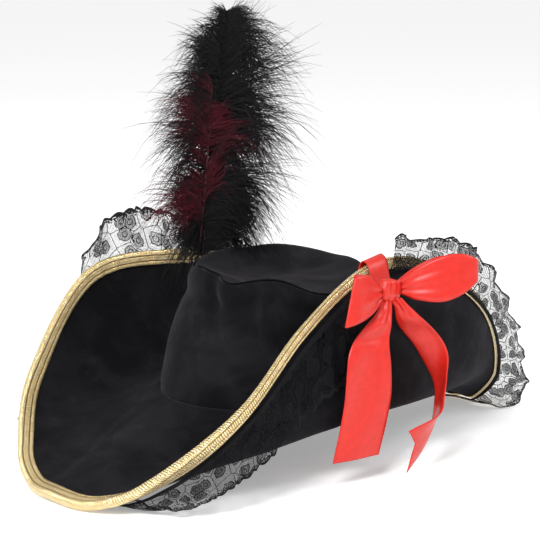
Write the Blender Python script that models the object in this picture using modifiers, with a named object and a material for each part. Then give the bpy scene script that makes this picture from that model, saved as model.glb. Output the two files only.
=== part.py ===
"""A costume pirate hat: a soft velvet crown on a wired brim cocked up at both sides,
bound in gold braid, with a lace ruffle, a satin ribbon bow and an ostrich plume.

The front tip of the brim points along -Y and the bow is on the +X side.
"""

import bmesh
import bpy
from math import cos, pi, radians, sin
from mathutils import Matrix, Vector

# Driving dimensions, in metres
crownHalfWidth = 0.080
crownHalfLength = 0.100
seamHeight = 0.048
wallThick = 0.0010
liningThick = 0.0006
bandThick = 0.0012
bandHeight = 0.026
layerGap = 0.0004
brimGap = 0.0007

stiffThick = 0.0012
coverThick = 0.0009
brimClear = 0.0024
wireRadius = 0.0008
bindingWidth = 0.012
bindingThick = 0.0007
laceThick = 0.0007

ribbonWidth = 0.040
ribbonThick = 0.0006

# Stations round the brim. The angle runs from the front tip (0) past the bow side (90).
# Each has the point that the brim's section bends towards, and the point on its edge.
brimStations = [
    (0, (0.000, -0.165, 0.019), (0.000, -0.2185, 0.0030)),
    (12, (0.034, -0.163, 0.015), (0.038, -0.2125, 0.0030)),
    (24, (0.059, -0.148, 0.008), (0.068, -0.190, 0.017)),
    (45, (0.100, -0.118, 0.005), (0.090, -0.122, 0.062)),
    (68, (0.120, -0.050, 0.012), (0.084, -0.055, 0.112)),
    (90, (0.125, 0.005, 0.020), (0.077, 0.015, 0.146)),
    (115, (0.115, 0.065, 0.015), (0.075, 0.078, 0.143)),
    (140, (0.092, 0.140, 0.012), (0.067, 0.152, 0.102)),
    (160, (0.045, 0.165, 0.013), (0.043, 0.206, 0.038)),
    (171, (0.018, 0.165, 0.018), (0.018, 0.2135, 0.0055)),
    (180, (0.000, 0.165, 0.020), (0.000, 0.2140, 0.0030)),
    (188, (-0.016, 0.164, 0.019), (-0.016, 0.2125, 0.0030)),
    (202, (-0.048, 0.152, 0.016), (-0.048, 0.195, 0.034)),
    (220, (-0.090, 0.118, 0.018), (-0.092, 0.136, 0.082)),
    (245, (-0.120, 0.050, 0.025), (-0.120, 0.062, 0.120)),
    (270, (-0.127, 0.000, 0.030), (-0.131, -0.010, 0.134)),
    (292, (-0.130, -0.055, 0.028), (-0.145, -0.078, 0.123)),
    (315, (-0.100, -0.112, 0.020), (-0.124, -0.148, 0.056)),
    (336, (-0.050, -0.156, 0.017), (-0.066, -0.198, 0.017)),
    (349, (-0.022, -0.163, 0.018), (-0.032, -0.2130, 0.0030)),
]

# Where the lace ends, as an offset from the brim's edge: across, along and up,
# then how far its middle stands off the brim.
laceStations = [
    (0, (0.004, 0.030, 0.0025), 0.0025),
    (14, (0.012, 0.026, 0.0010), 0.003),
    (26, (0.020, 0.014, -0.0175), 0.005),
    (45, (0.022, -0.006, -0.0375), 0.005),
    (68, (0.0225, -0.004, -0.052), 0.0035),
    (84, (0.0230, -0.004, -0.054), 0.0030),
    (96, (0.0090, 0.002, 0.016), 0.0045),
    (108, (0.0080, 0.004, 0.017), 0.0045),
    (125, (0.010, 0.014, 0.024), 0.006),
    (140, (0.012, 0.016, 0.010), 0.006),
    (156, (0.013, 0.022, -0.014), 0.006),
    (165, (0.022, 0.010, -0.019), 0.004),
    (172.5, (0.026, -0.012, -0.0020), 0.0035),
    (180, (0.004, -0.018, 0.0012), 0.0030),
    (187.5, (-0.008, -0.022, 0.0015), 0.0030),
    (197, (-0.020, 0.014, -0.012), 0.006),
    (206, (-0.022, 0.024, -0.004), 0.006),
    (218, (-0.026, 0.020, 0.012), 0.006),
    (245, (-0.020, 0.000, 0.020), 0.006),
    (270, (-0.018, 0.000, 0.036), 0.006),
    (279, (-0.015, -0.001, 0.036), 0.006),
    (286, (-0.010, -0.001, 0.025), 0.006),
    (292, (-0.007, -0.001, 0.004), 0.006),
    (300, (-0.009, -0.001, -0.022), 0.006),
    (313, (-0.013, 0.000, -0.036), 0.006),
    (332, (-0.016, 0.018, -0.012), 0.005),
    (348, (-0.004, 0.028, 0.0010), 0.0025),
]

# Height of the crown's top edge round the hat; it sags where the bow pulls the side in.
crownTopStations = [
    (0, 0.143), (45, 0.140), (75, 0.131), (105, 0.126), (135, 0.130),
    (180, 0.140), (225, 0.145), (270, 0.146), (315, 0.144),
]

roundSteps = 48
stepAngle = 360 / roundSteps


def smoothRound(stations, angle, pick):
    """Value on a closed smooth curve through what pick takes from each station."""
    count = len(stations)
    angle = angle % 360
    index = max(i for i in range(count) if stations[i][0] <= angle)
    places = []
    values = []
    for k in (-1, 0, 1, 2):
        turns, wrapped = divmod(index + k, count)
        places.append(stations[wrapped][0] + 360 * turns)
        values.append(pick(stations[wrapped]))
    step = places[2] - places[1]
    t = (angle - places[1]) / step
    leave = (values[2] - values[0]) * (step / (places[2] - places[0]))
    arrive = (values[3] - values[1]) * (step / (places[3] - places[1]))
    near = values[1] * (2 * t**3 - 3 * t**2 + 1) + leave * (t**3 - 2 * t**2 + t)
    far = values[2] * (3 * t**2 - 2 * t**3) + arrive * (t**3 - t**2)
    return near + far


def crownTopAt(angle):
    return smoothRound(crownTopStations, angle, lambda entry: entry[1])


def brimCurve(angle):
    """The three points of the brim's section at an angle: seam, bend and edge."""
    bend = smoothRound(brimStations, angle, lambda entry: Vector(entry[1]))
    edge = smoothRound(brimStations, angle, lambda entry: Vector(entry[2]))
    turn = radians(angle)
    across = crownHalfWidth + brimClear
    along = crownHalfLength + brimClear
    seam = Vector((across * sin(turn), -along * cos(turn), seamHeight))
    return seam, bend, edge


def onSection(points, t):
    seam, bend, edge = points
    return seam * (1 - t) ** 2 + bend * (2 * t * (1 - t)) + edge * t**2


def sectionPlace(points, fromEdge):
    """How far along the section lies a given distance from the edge."""
    steps = 48
    left = fromEdge
    last = points[2]
    for k in range(1, steps + 1):
        here = onSection(points, 1 - k / steps)
        span = (here - last).length
        if span >= left:
            return 1 - (k - 1 + left / span) / steps
        left -= span
        last = here
    return 0.0


def brimNormal(angle, t):
    """The direction out of the brim's upper face."""
    turned = onSection(brimCurve(angle + 1), t) - onSection(brimCurve(angle - 1), t)
    points = brimCurve(angle)
    high = min(t + 0.02, 1.0)
    outward = onSection(points, high) - onSection(points, high - 0.04)
    return outward.cross(turned).normalized()


def brimPoint(angle, t, offset):
    return onSection(brimCurve(angle), t) + brimNormal(angle, t) * offset


def edgeFrame(angle):
    """The edge point, the direction outward from it and the upper face's normal."""
    points = brimCurve(angle)
    return points[2], (points[2] - points[1]).normalized(), brimNormal(angle, 1.0)


def makeMaterial(name, colour, roughness, metallic=0.0):
    material = bpy.data.materials.new(name)
    material.use_nodes = True
    shader = material.node_tree.nodes["Principled BSDF"]
    shader.inputs["Base Color"].default_value = (*colour, 1)
    shader.inputs["Roughness"].default_value = roughness
    shader.inputs["Metallic"].default_value = metallic
    return material


def addObject(name, mesh, material, smooth=True):
    made = bpy.data.objects.new(name, mesh)
    parts.objects.link(made)
    mesh.materials.append(material)
    if smooth:
        mesh.shade_smooth()
    return made


def loft(name, rows, material, closed=False):
    """A surface through rows of points; closed rows meet their own start."""
    mesh = bpy.data.meshes.new(name)
    width = len(rows[0])
    last = width if closed else width - 1
    faces = []
    for row in range(len(rows) - 1):
        for k in range(last):
            here = row * width + k
            beside = row * width + (k + 1) % width
            faces.append((here, beside, beside + width, here + width))
    mesh.from_pydata([tuple(p) for line in rows for p in line], [], faces)
    return addObject(name, mesh, material)


def capLoft(name, rings, material):
    """A closed body: rings joined one to the next, with both end rings filled."""
    made = loft(name, rings, material, closed=True)
    mesh = made.data
    width = len(rings[0])
    body = bmesh.new()
    body.from_mesh(mesh)
    body.verts.ensure_lookup_table()
    body.faces.new([body.verts[k] for k in reversed(range(width))])
    body.faces.new([body.verts[(len(rings) - 1) * width + k] for k in range(width)])
    bmesh.ops.recalc_face_normals(body, faces=body.faces)
    body.to_mesh(mesh)
    body.free()
    mesh.shade_smooth()
    return made


def thicken(made, thickness, even=True):
    shell = made.modifiers.new("thickness", "SOLIDIFY")
    shell.thickness = thickness
    shell.offset = 0.0
    shell.use_even_offset = even
    return made


def tube(name, points, radius, material, closed=False, sides=2, tapers=None):
    """A round wire or thread along points, with its ends filled."""
    curve = bpy.data.curves.new(name, "CURVE")
    curve.dimensions = "3D"
    curve.bevel_depth = radius
    curve.bevel_resolution = sides
    curve.use_fill_caps = not closed
    spline = curve.splines.new("POLY")
    spline.points.add(len(points) - 1)
    for k, place in enumerate(points):
        spline.points[k].co = (*place, 1)
        if tapers:
            spline.points[k].radius = tapers[k]
    spline.use_cyclic_u = closed
    drawn = bpy.data.objects.new(name, curve)
    parts.objects.link(drawn)
    mesh = bpy.data.meshes.new_from_object(drawn)
    bpy.data.objects.remove(drawn)
    body = bmesh.new()
    body.from_mesh(mesh)
    bmesh.ops.remove_doubles(body, verts=body.verts, dist=0.00001)
    bmesh.ops.recalc_face_normals(body, faces=body.faces)
    body.to_mesh(mesh)
    body.free()
    return addObject(name, mesh, material)


def smoothPath(points, steps):
    """Points on a smooth curve through the given ones."""
    line = [Vector(p) for p in points]
    line = [line[0] * 2 - line[1]] + line + [line[-1] * 2 - line[-2]]
    made = []
    for k in range(1, len(line) - 2):
        for step in range(steps):
            t = step / steps
            leave = (line[k + 1] - line[k - 1]) / 2
            arrive = (line[k + 2] - line[k]) / 2
            near = line[k] * (2 * t**3 - 3 * t**2 + 1) + leave * (t**3 - 2 * t**2 + t)
            far = line[k + 1] * (3 * t**2 - 2 * t**3) + arrive * (t**3 - t**2)
            made.append(near + far)
    made.append(line[-2])
    return made


def around():
    return [stepAngle * k for k in range(roundSteps)]


def crownShare(rise):
    """Share of the base's width that the crown's side has at a share of its height."""
    for low, high in zip(crownSide, crownSide[1:]):
        if rise <= high[0]:
            return low[1] + (high[1] - low[1]) * (rise - low[0]) / (high[0] - low[0])
    return crownSide[-1][1]


def crownRing(halfWidth, halfLength, height):
    """A ring of the crown; height is a number or a function of the angle."""
    ring = []
    for angle in around():
        turn = radians(angle)
        z = height(angle) if callable(height) else height
        ring.append(Vector((halfWidth * sin(turn), -halfLength * cos(turn), z)))
    return ring


# The crown's side as it rises: share of the height, then of the base's width
crownSide = [(0.0, 1.0), (0.12, 0.998), (0.38, 0.955), (0.66, 0.86), (0.88, 0.77), (1.0, 0.725)]
# Its top: share of the base's width, and how far it sags below the edge
crownTip = [(0.71, 0.0), (0.58, 0.003), (0.42, 0.006), (0.24, 0.008), (0.09, 0.0085)]


def crownRows(inset, lift=0.0):
    """Rings up the crown's side, set in from the outer cloth's middle."""
    rows = []
    for rise, share in crownSide:

        def height(angle, rise=rise):
            base = seamHeight + lift
            return base + rise * (crownTopAt(angle) - inset - base)

        rows.append(crownRing(crownHalfWidth * share - inset, crownHalfLength * share - inset, height))
    return rows


def crownTipRows(inset, lift):
    rows = []
    for share, sag in crownTip:

        def height(angle, sag=sag, share=share):
            level = 0.137
            calm = min(1.0, (0.71 - share) / 0.5)
            edge = crownTopAt(angle) * (1 - calm) + level * calm
            return edge + lift - sag

        rows.append(crownRing(crownHalfWidth * share - inset, crownHalfLength * share - inset, height))
    return rows


def closeTip(made, ringSize):
    """Fills the last ring, at the middle of a crown's tip."""
    mesh = made.data
    body = bmesh.new()
    body.from_mesh(mesh)
    body.verts.ensure_lookup_table()
    ring = [body.verts[k] for k in range(len(body.verts) - ringSize, len(body.verts))]
    body.faces.new(ring)
    bmesh.ops.recalc_face_normals(body, faces=body.faces)
    body.to_mesh(mesh)
    body.free()
    mesh.shade_smooth()


def makeCrown():
    velvet = makeMaterial("velvet_crown", (0.012, 0.011, 0.014), 0.9)
    velvetTop = makeMaterial("velvet_crown_top", (0.012, 0.011, 0.014), 0.9)
    liningCloth = makeMaterial("lining", (0.02, 0.02, 0.024), 0.6)
    bandCloth = makeMaterial("sweatband", (0.016, 0.016, 0.018), 0.75)
    thicken(loft("crown_wall", crownRows(wallThick / 2), velvet, closed=True), wallThick)
    top = loft("crown_top", crownTipRows(0.0, 0.0012), velvetTop, closed=True)
    closeTip(top, roundSteps)
    thicken(top, wallThick)
    liningInset = wallThick + layerGap + liningThick / 2
    rows = crownRows(liningInset, 0.001)
    rows += crownTipRows(liningInset, 0.0012 - liningInset - 0.0008)[1:]
    lining = loft("crown_lining", rows, liningCloth, closed=True)
    closeTip(lining, roundSteps)
    thicken(lining, liningThick)
    bandInset = wallThick + liningThick + 2 * layerGap + bandThick / 2
    rows = []
    for rise in (0.0, 0.3, 0.65, 1.0):
        row = []
        for angle in around():
            turn = radians(angle)
            up = bandHeight * rise if rise > 0.3 else 0.0
            share = crownShare(up / (crownTopAt(angle) - liningThick - seamHeight))
            across = crownHalfWidth * share - bandInset
            along = crownHalfLength * share - bandInset
            height = seamHeight + bandHeight * rise
            row.append(Vector((across * sin(turn), -along * cos(turn), height)))
        rows.append(row)
    thicken(loft("sweatband", rows, bandCloth, closed=True), bandThick)


def brimRows(offset, edgeDistances):
    """Rings of points over the brim, from the seam outward, set off its middle surface."""
    rows = []
    for share in (0.0, 0.17, 0.34, 0.51, 0.68, 0.85):
        row = []
        for angle in around():
            last = sectionPlace(brimCurve(angle), edgeDistances[0])
            row.append(brimPoint(angle, last * share, offset))
        rows.append(row)
    for distance in edgeDistances:
        row = []
        for angle in around():
            row.append(brimPoint(angle, sectionPlace(brimCurve(angle), distance), offset))
        rows.append(row)
    return rows


def makeBrim():
    velvetIn = makeMaterial("velvet_brim_top", (0.012, 0.011, 0.014), 0.9)
    velvetOut = makeMaterial("velvet_brim_under", (0.012, 0.011, 0.014), 0.9)
    felt = makeMaterial("stiffener_felt", (0.05, 0.05, 0.055), 0.95)
    steel = makeMaterial("millinery_wire", (0.35, 0.35, 0.36), 0.4, 1.0)
    offset = stiffThick / 2 + brimGap + coverThick / 2
    rows = brimRows(0.0, (0.0135, 0.0070, 0.0034))
    thicken(loft("brim_stiffener", rows, felt, closed=True), stiffThick)
    rows = brimRows(offset, (0.0135, 0.0070, 0.0024))
    thicken(loft("brim_top_cover", rows, velvetIn, closed=True), coverThick)
    rows = brimRows(-offset, (0.0135, 0.0070, 0.0024))
    thicken(loft("brim_under_cover", rows, velvetOut, closed=True), coverThick)
    wire = []
    for angle in [184] + [180 + stepAngle * k for k in range(1, roundSteps)] + [536]:
        edge, outward, upward = edgeFrame(angle)
        wire.append(edge - outward * 0.0006)
    tube("brim_wire", wire, wireRadius, steel, sides=1)
    sleeve = []
    for angle in (178, 179, 180, 181, 182):
        edge, outward, upward = edgeFrame(angle)
        sleeve.append(edge - outward * 0.0006)
    tube("wire_sleeve", sleeve, wireRadius * 1.15, steel, sides=1)


def makeBinding():
    gold = makeMaterial("gold_braid", (0.80, 0.62, 0.27), 0.32, 0.85)
    legs = stiffThick / 2 + coverThick + 2.5 * brimGap + bindingThick / 2
    sections = []
    for angle in around():
        edge, outward, upward = edgeFrame(angle)
        points = brimCurve(angle)
        section = []
        for side in (-1, 1):
            leg = []
            for distance in (bindingWidth, 0.0065, 0.0008):
                place = sectionPlace(points, distance)
                leg.append(brimPoint(angle, place, legs * side))
            if side < 0:
                section += leg
                section.append(edge + outward * 0.0016 - upward * 0.0021)
                section.append(edge + outward * 0.0025)
                section.append(edge + outward * 0.0016 + upward * 0.0021)
            else:
                section += list(reversed(leg))
        sections.append(section)
    rows = [[section[k] for section in sections] for k in range(len(sections[0]))]
    thicken(loft("gold_binding", rows, gold, closed=True), bindingThick)


def makeLace():
    thread = makeMaterial("black_lace", (0.02, 0.02, 0.022), 0.7)
    start = stiffThick / 2 + coverThick + bindingThick + 3.5 * brimGap + laceThick / 2
    first = 13
    last = roundSteps + 11
    rows = []
    for k in range(first, last + 1):
        angle = stepAngle * k
        edge, outward, upward = edgeFrame(angle)
        points = brimCurve(angle)
        root = brimPoint(angle, sectionPlace(points, 0.009), -start)
        tip = edge + smoothRound(laceStations, angle, lambda entry: Vector(entry[1]))
        stand = smoothRound(laceStations, angle, lambda entry: entry[2])
        middle = (root + tip) / 2 - upward * stand
        row = []
        for step in range(6):
            t = step / 5
            row.append(root * (1 - t) ** 2 + middle * (2 * t * (1 - t)) + tip * t**2)
        rows.append(row)
    thicken(loft("lace_ruffle", rows, thread), laceThick, even=False)


def ribbonStrip(name, path, widths, directions, material, steps=3, columns=2, notch=0.0):
    """A strip of ribbon along a path; the direction across it turns from point to point."""
    line = smoothPath(path, steps)
    across = smoothPath(directions, steps)
    breadth = smoothPath([(w, 0, 0) for w in widths], steps)
    rows = []
    for k, place in enumerate(line):
        row = []
        for column in range(columns + 1):
            share = column / columns - 0.5
            row.append(place + across[k].normalized() * (breadth[k].x * share))
        rows.append(row)
    if notch:
        pull = (line[-2] - line[-1]).normalized() * notch
        for column in range(columns + 1):
            rows[-1][column] += pull * (1 - abs(2 * column / columns - 1))
    return thicken(loft(name, rows, material), ribbonThick)


def placeOrigin(made, pivot):
    """Moves an object's origin to its joint without moving its shape."""
    made.data.transform(Matrix.Translation(-Vector(pivot)))
    made.location = pivot


knot = Vector((0.0985, 0.018, 0.133))
knotSize = Vector((0.011, 0.017, 0.017))
plumeFoot = Vector((-0.0746, -0.020, 0.104))


def makeBow():
    tabSatin = makeMaterial("satin_tab", (0.80, 0.045, 0.025), 0.32)
    knotSatin = makeMaterial("satin_knot", (0.80, 0.045, 0.025), 0.32)
    leftSatin = makeMaterial("satin_left_loop", (0.80, 0.045, 0.025), 0.32)
    rightSatin = makeMaterial("satin_right_loop", (0.80, 0.045, 0.025), 0.32)
    longSatin = makeMaterial("satin_long_tail", (0.80, 0.045, 0.025), 0.32)
    forkedSatin = makeMaterial("satin_forked_tail", (0.80, 0.045, 0.025), 0.32)

    bpy.ops.mesh.primitive_cube_add(size=1)
    made = bpy.context.object
    made.name = "bow_knot"
    made.data.transform(Matrix.Diagonal((*knotSize, 1)))
    made.location = knot
    made.rotation_euler = (radians(-12), 0, radians(6))
    rounding = made.modifiers.new("rounding", "BEVEL")
    rounding.width = 0.004
    rounding.segments = 3
    made.data.shade_smooth()
    made.data.materials.append(knotSatin)
    bpy.context.collection.objects.unlink(made)
    parts.objects.link(made)

    angle = 93
    points = brimCurve(angle)
    edge, outward, upward = edgeFrame(angle)
    clear = 0.0053
    tab = [brimPoint(angle, sectionPlace(points, d), -clear) for d in (0.030, 0.020, 0.010)]
    tab.append(edge + outward * 0.001 - upward * clear)
    tab.append(edge + outward * 0.0060)
    tab.append(edge + outward * 0.001 + upward * clear)
    tab.append(brimPoint(angle, sectionPlace(points, 0.012), clear))
    crownSpot = Vector((0.0650, 0.020, 0.118))
    tab.append(tab[-1] * 0.4 + crownSpot * 0.6 + Vector((0.003, 0, 0.002)))
    tab.append(crownSpot)
    flat = edgeFrame(angle + 3)[0] - edgeFrame(angle - 3)[0]
    flat = [flat.normalized()] * 7 + [Vector((0.05, 1, 0)), Vector((-0.22, 1, 0.05))]
    breadths = [0.020] * 7 + [0.018, 0.016]
    ribbonStrip("ribbon_tab", tab, breadths, flat, tabSatin, steps=2)

    left = knot + Vector((0.0005, -0.0108, 0))
    path = [left + Vector(step) for step in (
        (0.0030, 0, 0), (0.0065, -0.013, 0.001), (0.0095, -0.027, 0), (0.0085, -0.0365, -0.001),
        (0.0040, -0.031, 0), (0.0010, -0.014, 0.001), (-0.0012, 0, 0))]
    flat = [(-0.10, 0, 1), (-0.20, 0.12, 0.95), (-0.20, 0.34, 0.90), (-0.10, 0.36, 0.90),
            (-0.20, 0.34, 0.90), (-0.20, 0.12, 0.95), (-0.10, 0, 1)]
    breadths = [0.010, 0.027, 0.036, 0.038, 0.036, 0.026, 0.010]
    placeOrigin(ribbonStrip("bow_left_loop", path, breadths, flat, leftSatin), left)

    right = knot + Vector((0, 0.0108, 0.0005))
    path = [right + Vector(step) for step in (
        (0.0023, 0, 0), (0.0136, 0.0069, 0.004), (0.0263, 0.0197, 0.008), (0.0340, 0.0342, 0.011),
        (0.0349, 0.0478, 0.012), (0.0226, 0.0424, 0.009), (0.0109, 0.0301, 0.006), (0.0022, 0.0151, 0.003),
        (-0.0023, 0.0019, 0))]
    flat = [(-0.10, 0, 1)] + [(-0.15, 0.15, 0.95)] * 7 + [(-0.10, 0, 1)]
    breadths = [0.010, 0.024, 0.034, 0.029, 0.015, 0.025, 0.030, 0.022, 0.010]
    placeOrigin(ribbonStrip("bow_right_loop", path, breadths, flat, rightSatin), right)

    longTop = Vector((0.1035, 0.009, 0.1185))
    path = [longTop, (0.1075, -0.004, 0.107), (0.1090, -0.012, 0.095), (0.1115, -0.015, 0.080),
            (0.1135, -0.0175, 0.060), (0.1145, -0.0225, 0.040), (0.115, -0.030, 0.017)]
    flat = [(0.1, 1, -0.1), (0.12, 1, -0.06), (0.14, 1, 0), (0.14, 1, 0), (0.14, 1, 0), (0.14, 1, 0),
            (0.12, 1, 0)]
    breadths = [0.012, 0.028, 0.036, 0.040, 0.042, 0.042, 0.042]
    tail = ribbonStrip("bow_long_tail", path, breadths, flat, longSatin)
    placeOrigin(tail, longTop)

    forkTop = knot + Vector((0.0075, 0.007, -0.0125))
    path = [forkTop, (0.108, 0.034, 0.107), (0.113, 0.050, 0.0865), (0.117, 0.056, 0.064),
            (0.121, 0.051, 0.047), (0.126, 0.038, 0.030), (0.131, 0.006, 0.019)]
    flat = [(0.64, 0.77, 0), (0.70, 0.68, 0.1), (0.85, 0.35, 0.2), (0.85, -0.30, 0.35),
            (0.75, -0.35, 0.5), (0.45, 0, 0.85), (-0.1, 0.15, 0.95)]
    breadths = [0.012, 0.021, 0.023, 0.024, 0.024, 0.027, 0.030]
    tail = ribbonStrip("bow_forked_tail", path, breadths, flat, forkedSatin, notch=0.012)
    placeOrigin(tail, forkTop)

    threadBlack = makeMaterial("bow_thread", (0.5, 0.03, 0.02), 0.6)
    bar = [knot + Vector((-0.0040, 0.003 * step, -0.0112)) for step in (-1, 0, 1)]
    tube("bow_stitch", bar, 0.0004, threadBlack, sides=1)


def plumeAxis(rise, length, base, lean):
    """A point up a plume: it leans back towards the tail of the hat and curls at the tip."""
    t = rise
    return base + Vector((0.010 * t, lean * t * t + 0.004 * sin(pi * t), length * t))


def vaneBody(name, base, length, lean, halfWidths, depth, side, material):
    """A flue-covered vane as a flattened closed body beside its quill."""
    rings = []
    turnDirection = Vector((0.45, 0.89, 0))
    outDirection = Vector((0.89, -0.45, 0)) * side
    for rise, half in halfWidths:
        centre = plumeAxis(rise, length, base, lean)
        ring = []
        for k in range(12):
            turn = 2 * pi * k / 12
            bulge = depth * min(1.0, half / 0.04) * (1 + sin(turn))
            ring.append(centre + turnDirection * (half * cos(turn)) + outDirection * (0.0022 + bulge))
        rings.append(ring)
    return capLoft(name, rings, material)


def makePlume():
    patchFelt = makeMaterial("patch_felt", (0.02, 0.02, 0.022), 0.95)
    quillHorn = makeMaterial("plume_quill", (0.05, 0.04, 0.035), 0.45)
    redHorn = makeMaterial("plume_red_quill", (0.12, 0.03, 0.03), 0.45)
    blackFlue = makeMaterial("plume_black", (0.010, 0.010, 0.012), 0.75)
    redFlue = makeMaterial("plume_red", (0.14, 0.008, 0.016), 0.75)
    tuftDown = makeMaterial("plume_tuft", (0.010, 0.010, 0.012), 0.85)
    threadBlack = makeMaterial("plume_thread", (0.02, 0.02, 0.02), 0.7)

    bpy.ops.mesh.primitive_cylinder_add(vertices=24, radius=0.011, depth=0.001)
    patch = bpy.context.object
    patch.name = "plume_patch"
    patch.location = plumeFoot + Vector((0.0030, 0, -0.001))
    patch.rotation_euler = (0, radians(-76), radians(13))
    patch.data.materials.append(patchFelt)
    bpy.context.collection.objects.unlink(patch)
    parts.objects.link(patch)

    length = 0.227
    lean = 0.022
    rises = [k / 12 for k in range(13)]
    path = [plumeAxis(rise, length, plumeFoot, lean) for rise in rises]
    tapers = [1.0 - 0.75 * rise for rise in rises]
    placeOrigin(tube("plume_quill", path, 0.0014, quillHorn, tapers=tapers), plumeFoot)

    redBase = plumeFoot + Vector((0.0015, -0.0045, 0.014))
    path = [plumeAxis(rise, 0.157, redBase, 0.010) for rise in rises]
    placeOrigin(tube("plume_red_quill", path, 0.0011, redHorn, tapers=tapers), plumeFoot)

    blackWidths = [(0.22, 0.012), (0.32, 0.040), (0.44, 0.056), (0.60, 0.066),
                   (0.76, 0.064), (0.90, 0.046), (1.04, 0.014)]
    redWidths = [(0.54, 0.012), (0.64, 0.036), (0.78, 0.044), (0.90, 0.034), (1.04, 0.010)]
    made = vaneBody("plume_black_vane", plumeFoot, length, lean, blackWidths, 0.0035, -1, blackFlue)
    placeOrigin(made, plumeFoot)
    made = vaneBody("plume_red_vane", redBase, 0.157, 0.010, redWidths, 0.003, 1, redFlue)
    placeOrigin(made, plumeFoot)

    rings = []
    for height, half in ((0.052, 0.012), (0.060, 0.024), (0.074, 0.030), (0.088, 0.026), (0.098, 0.012)):
        centre = plumeAxis(height / length, length, plumeFoot, lean)
        ring = []
        for k in range(12):
            turn = 2 * pi * k / 12
            outward = Vector((0.89, -0.45, 0)) * (0.0055 + 0.004 * (1 + sin(turn)))
            ring.append(centre + Vector((0.45, 0.89, 0)) * (half * cos(turn)) + outward)
        rings.append(ring)
    made = capLoft("plume_base_tuft", rings, tuftDown)
    placeOrigin(made, plumeFoot)

    loop = []
    for k in range(12):
        turn = 2 * pi * k / 12
        loop.append(plumeFoot + Vector((0.0021 * cos(turn), 0.0024 * sin(turn), 0.002)))
    tube("plume_stitch", loop, 0.0003, threadBlack, closed=True, sides=1)


def standOnOrigin():
    """Centres the whole hat over the origin, with its lowest point on the ground."""
    depsgraph = bpy.context.evaluated_depsgraph_get()
    corners = []
    for made in parts.objects:
        shown = made.evaluated_get(depsgraph)
        corners += [shown.matrix_world @ vertex.co for vertex in shown.to_mesh().vertices]
    low = [min(corner[k] for corner in corners) for k in range(3)]
    high = [max(corner[k] for corner in corners) for k in range(3)]
    shift = Vector((-(low[0] + high[0]) / 2, -(low[1] + high[1]) / 2, -low[2]))
    for made in parts.objects:
        made.location += shift


for leftover in list(bpy.data.objects):
    bpy.data.objects.remove(leftover)
parts = bpy.data.collections.new("pirate_hat")
bpy.context.scene.collection.children.link(parts)
makeCrown()
makeBrim()
makeBinding()
makeLace()
makeBow()
makePlume()
standOnOrigin()
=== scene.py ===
import random
from math import cos, pi, radians, sin

import bmesh
import bpy
import numpy as np
from mathutils import Matrix, Vector


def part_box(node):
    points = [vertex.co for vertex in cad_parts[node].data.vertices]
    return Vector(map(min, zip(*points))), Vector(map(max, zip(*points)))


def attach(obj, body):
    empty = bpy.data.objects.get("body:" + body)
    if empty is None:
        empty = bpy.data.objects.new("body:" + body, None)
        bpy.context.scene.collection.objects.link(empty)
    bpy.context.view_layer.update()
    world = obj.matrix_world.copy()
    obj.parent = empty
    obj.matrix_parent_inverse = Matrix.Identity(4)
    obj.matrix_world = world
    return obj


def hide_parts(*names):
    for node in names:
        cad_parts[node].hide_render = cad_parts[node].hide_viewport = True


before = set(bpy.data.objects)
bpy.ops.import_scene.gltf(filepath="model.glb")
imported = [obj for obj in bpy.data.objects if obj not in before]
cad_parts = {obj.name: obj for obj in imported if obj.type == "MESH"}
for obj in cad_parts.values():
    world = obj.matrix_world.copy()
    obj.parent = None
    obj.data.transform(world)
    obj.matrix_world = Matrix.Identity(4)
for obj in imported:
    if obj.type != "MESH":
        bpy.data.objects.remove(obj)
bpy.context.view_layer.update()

# where the crown's axis stands on the table, worked out from the sweatband
bandLow, bandHigh = (np.array(corner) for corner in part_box("sweatband"))
hat = {
    "halfWidth": 0.080,
    "halfLength": 0.100,
    "seam": 0.048,
    "clear": 0.0024,
    "cloth": 0.0009,
    "braidWidth": 0.0092,
}
centre = (bandLow + bandHigh) / 2
hatPlace = np.array([centre[0], centre[1], bandLow[2] - hat["seam"]])

# brim section round the hat: angle, the point it bends towards, the point on its edge
brimStations = [
    (0, (0.000, -0.165, 0.019), (0.000, -0.2185, 0.0030)),
    (12, (0.034, -0.163, 0.015), (0.038, -0.2125, 0.0030)),
    (24, (0.059, -0.148, 0.008), (0.068, -0.190, 0.017)),
    (45, (0.100, -0.118, 0.005), (0.090, -0.122, 0.062)),
    (68, (0.120, -0.050, 0.012), (0.084, -0.055, 0.112)),
    (90, (0.125, 0.005, 0.020), (0.077, 0.015, 0.146)),
    (115, (0.115, 0.065, 0.015), (0.075, 0.078, 0.143)),
    (140, (0.092, 0.140, 0.012), (0.067, 0.152, 0.102)),
    (160, (0.045, 0.165, 0.013), (0.043, 0.206, 0.038)),
    (171, (0.018, 0.165, 0.018), (0.018, 0.2135, 0.0055)),
    (180, (0.000, 0.165, 0.020), (0.000, 0.2140, 0.0030)),
    (188, (-0.016, 0.164, 0.019), (-0.016, 0.2125, 0.0030)),
    (202, (-0.048, 0.152, 0.016), (-0.048, 0.195, 0.034)),
    (220, (-0.090, 0.118, 0.018), (-0.092, 0.136, 0.082)),
    (245, (-0.120, 0.050, 0.025), (-0.120, 0.062, 0.120)),
    (270, (-0.127, 0.000, 0.030), (-0.131, -0.010, 0.134)),
    (292, (-0.130, -0.055, 0.028), (-0.145, -0.078, 0.123)),
    (315, (-0.100, -0.112, 0.020), (-0.124, -0.148, 0.056)),
    (336, (-0.050, -0.156, 0.017), (-0.066, -0.198, 0.017)),
    (349, (-0.022, -0.163, 0.018), (-0.032, -0.2130, 0.0030)),
]

# height of the crown's top edge; the bow pulls its own side down
crownTopStations = [
    (0, 0.143), (45, 0.140), (75, 0.131), (105, 0.126), (135, 0.130),
    (180, 0.140), (225, 0.145), (270, 0.146), (315, 0.144),
]


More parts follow.
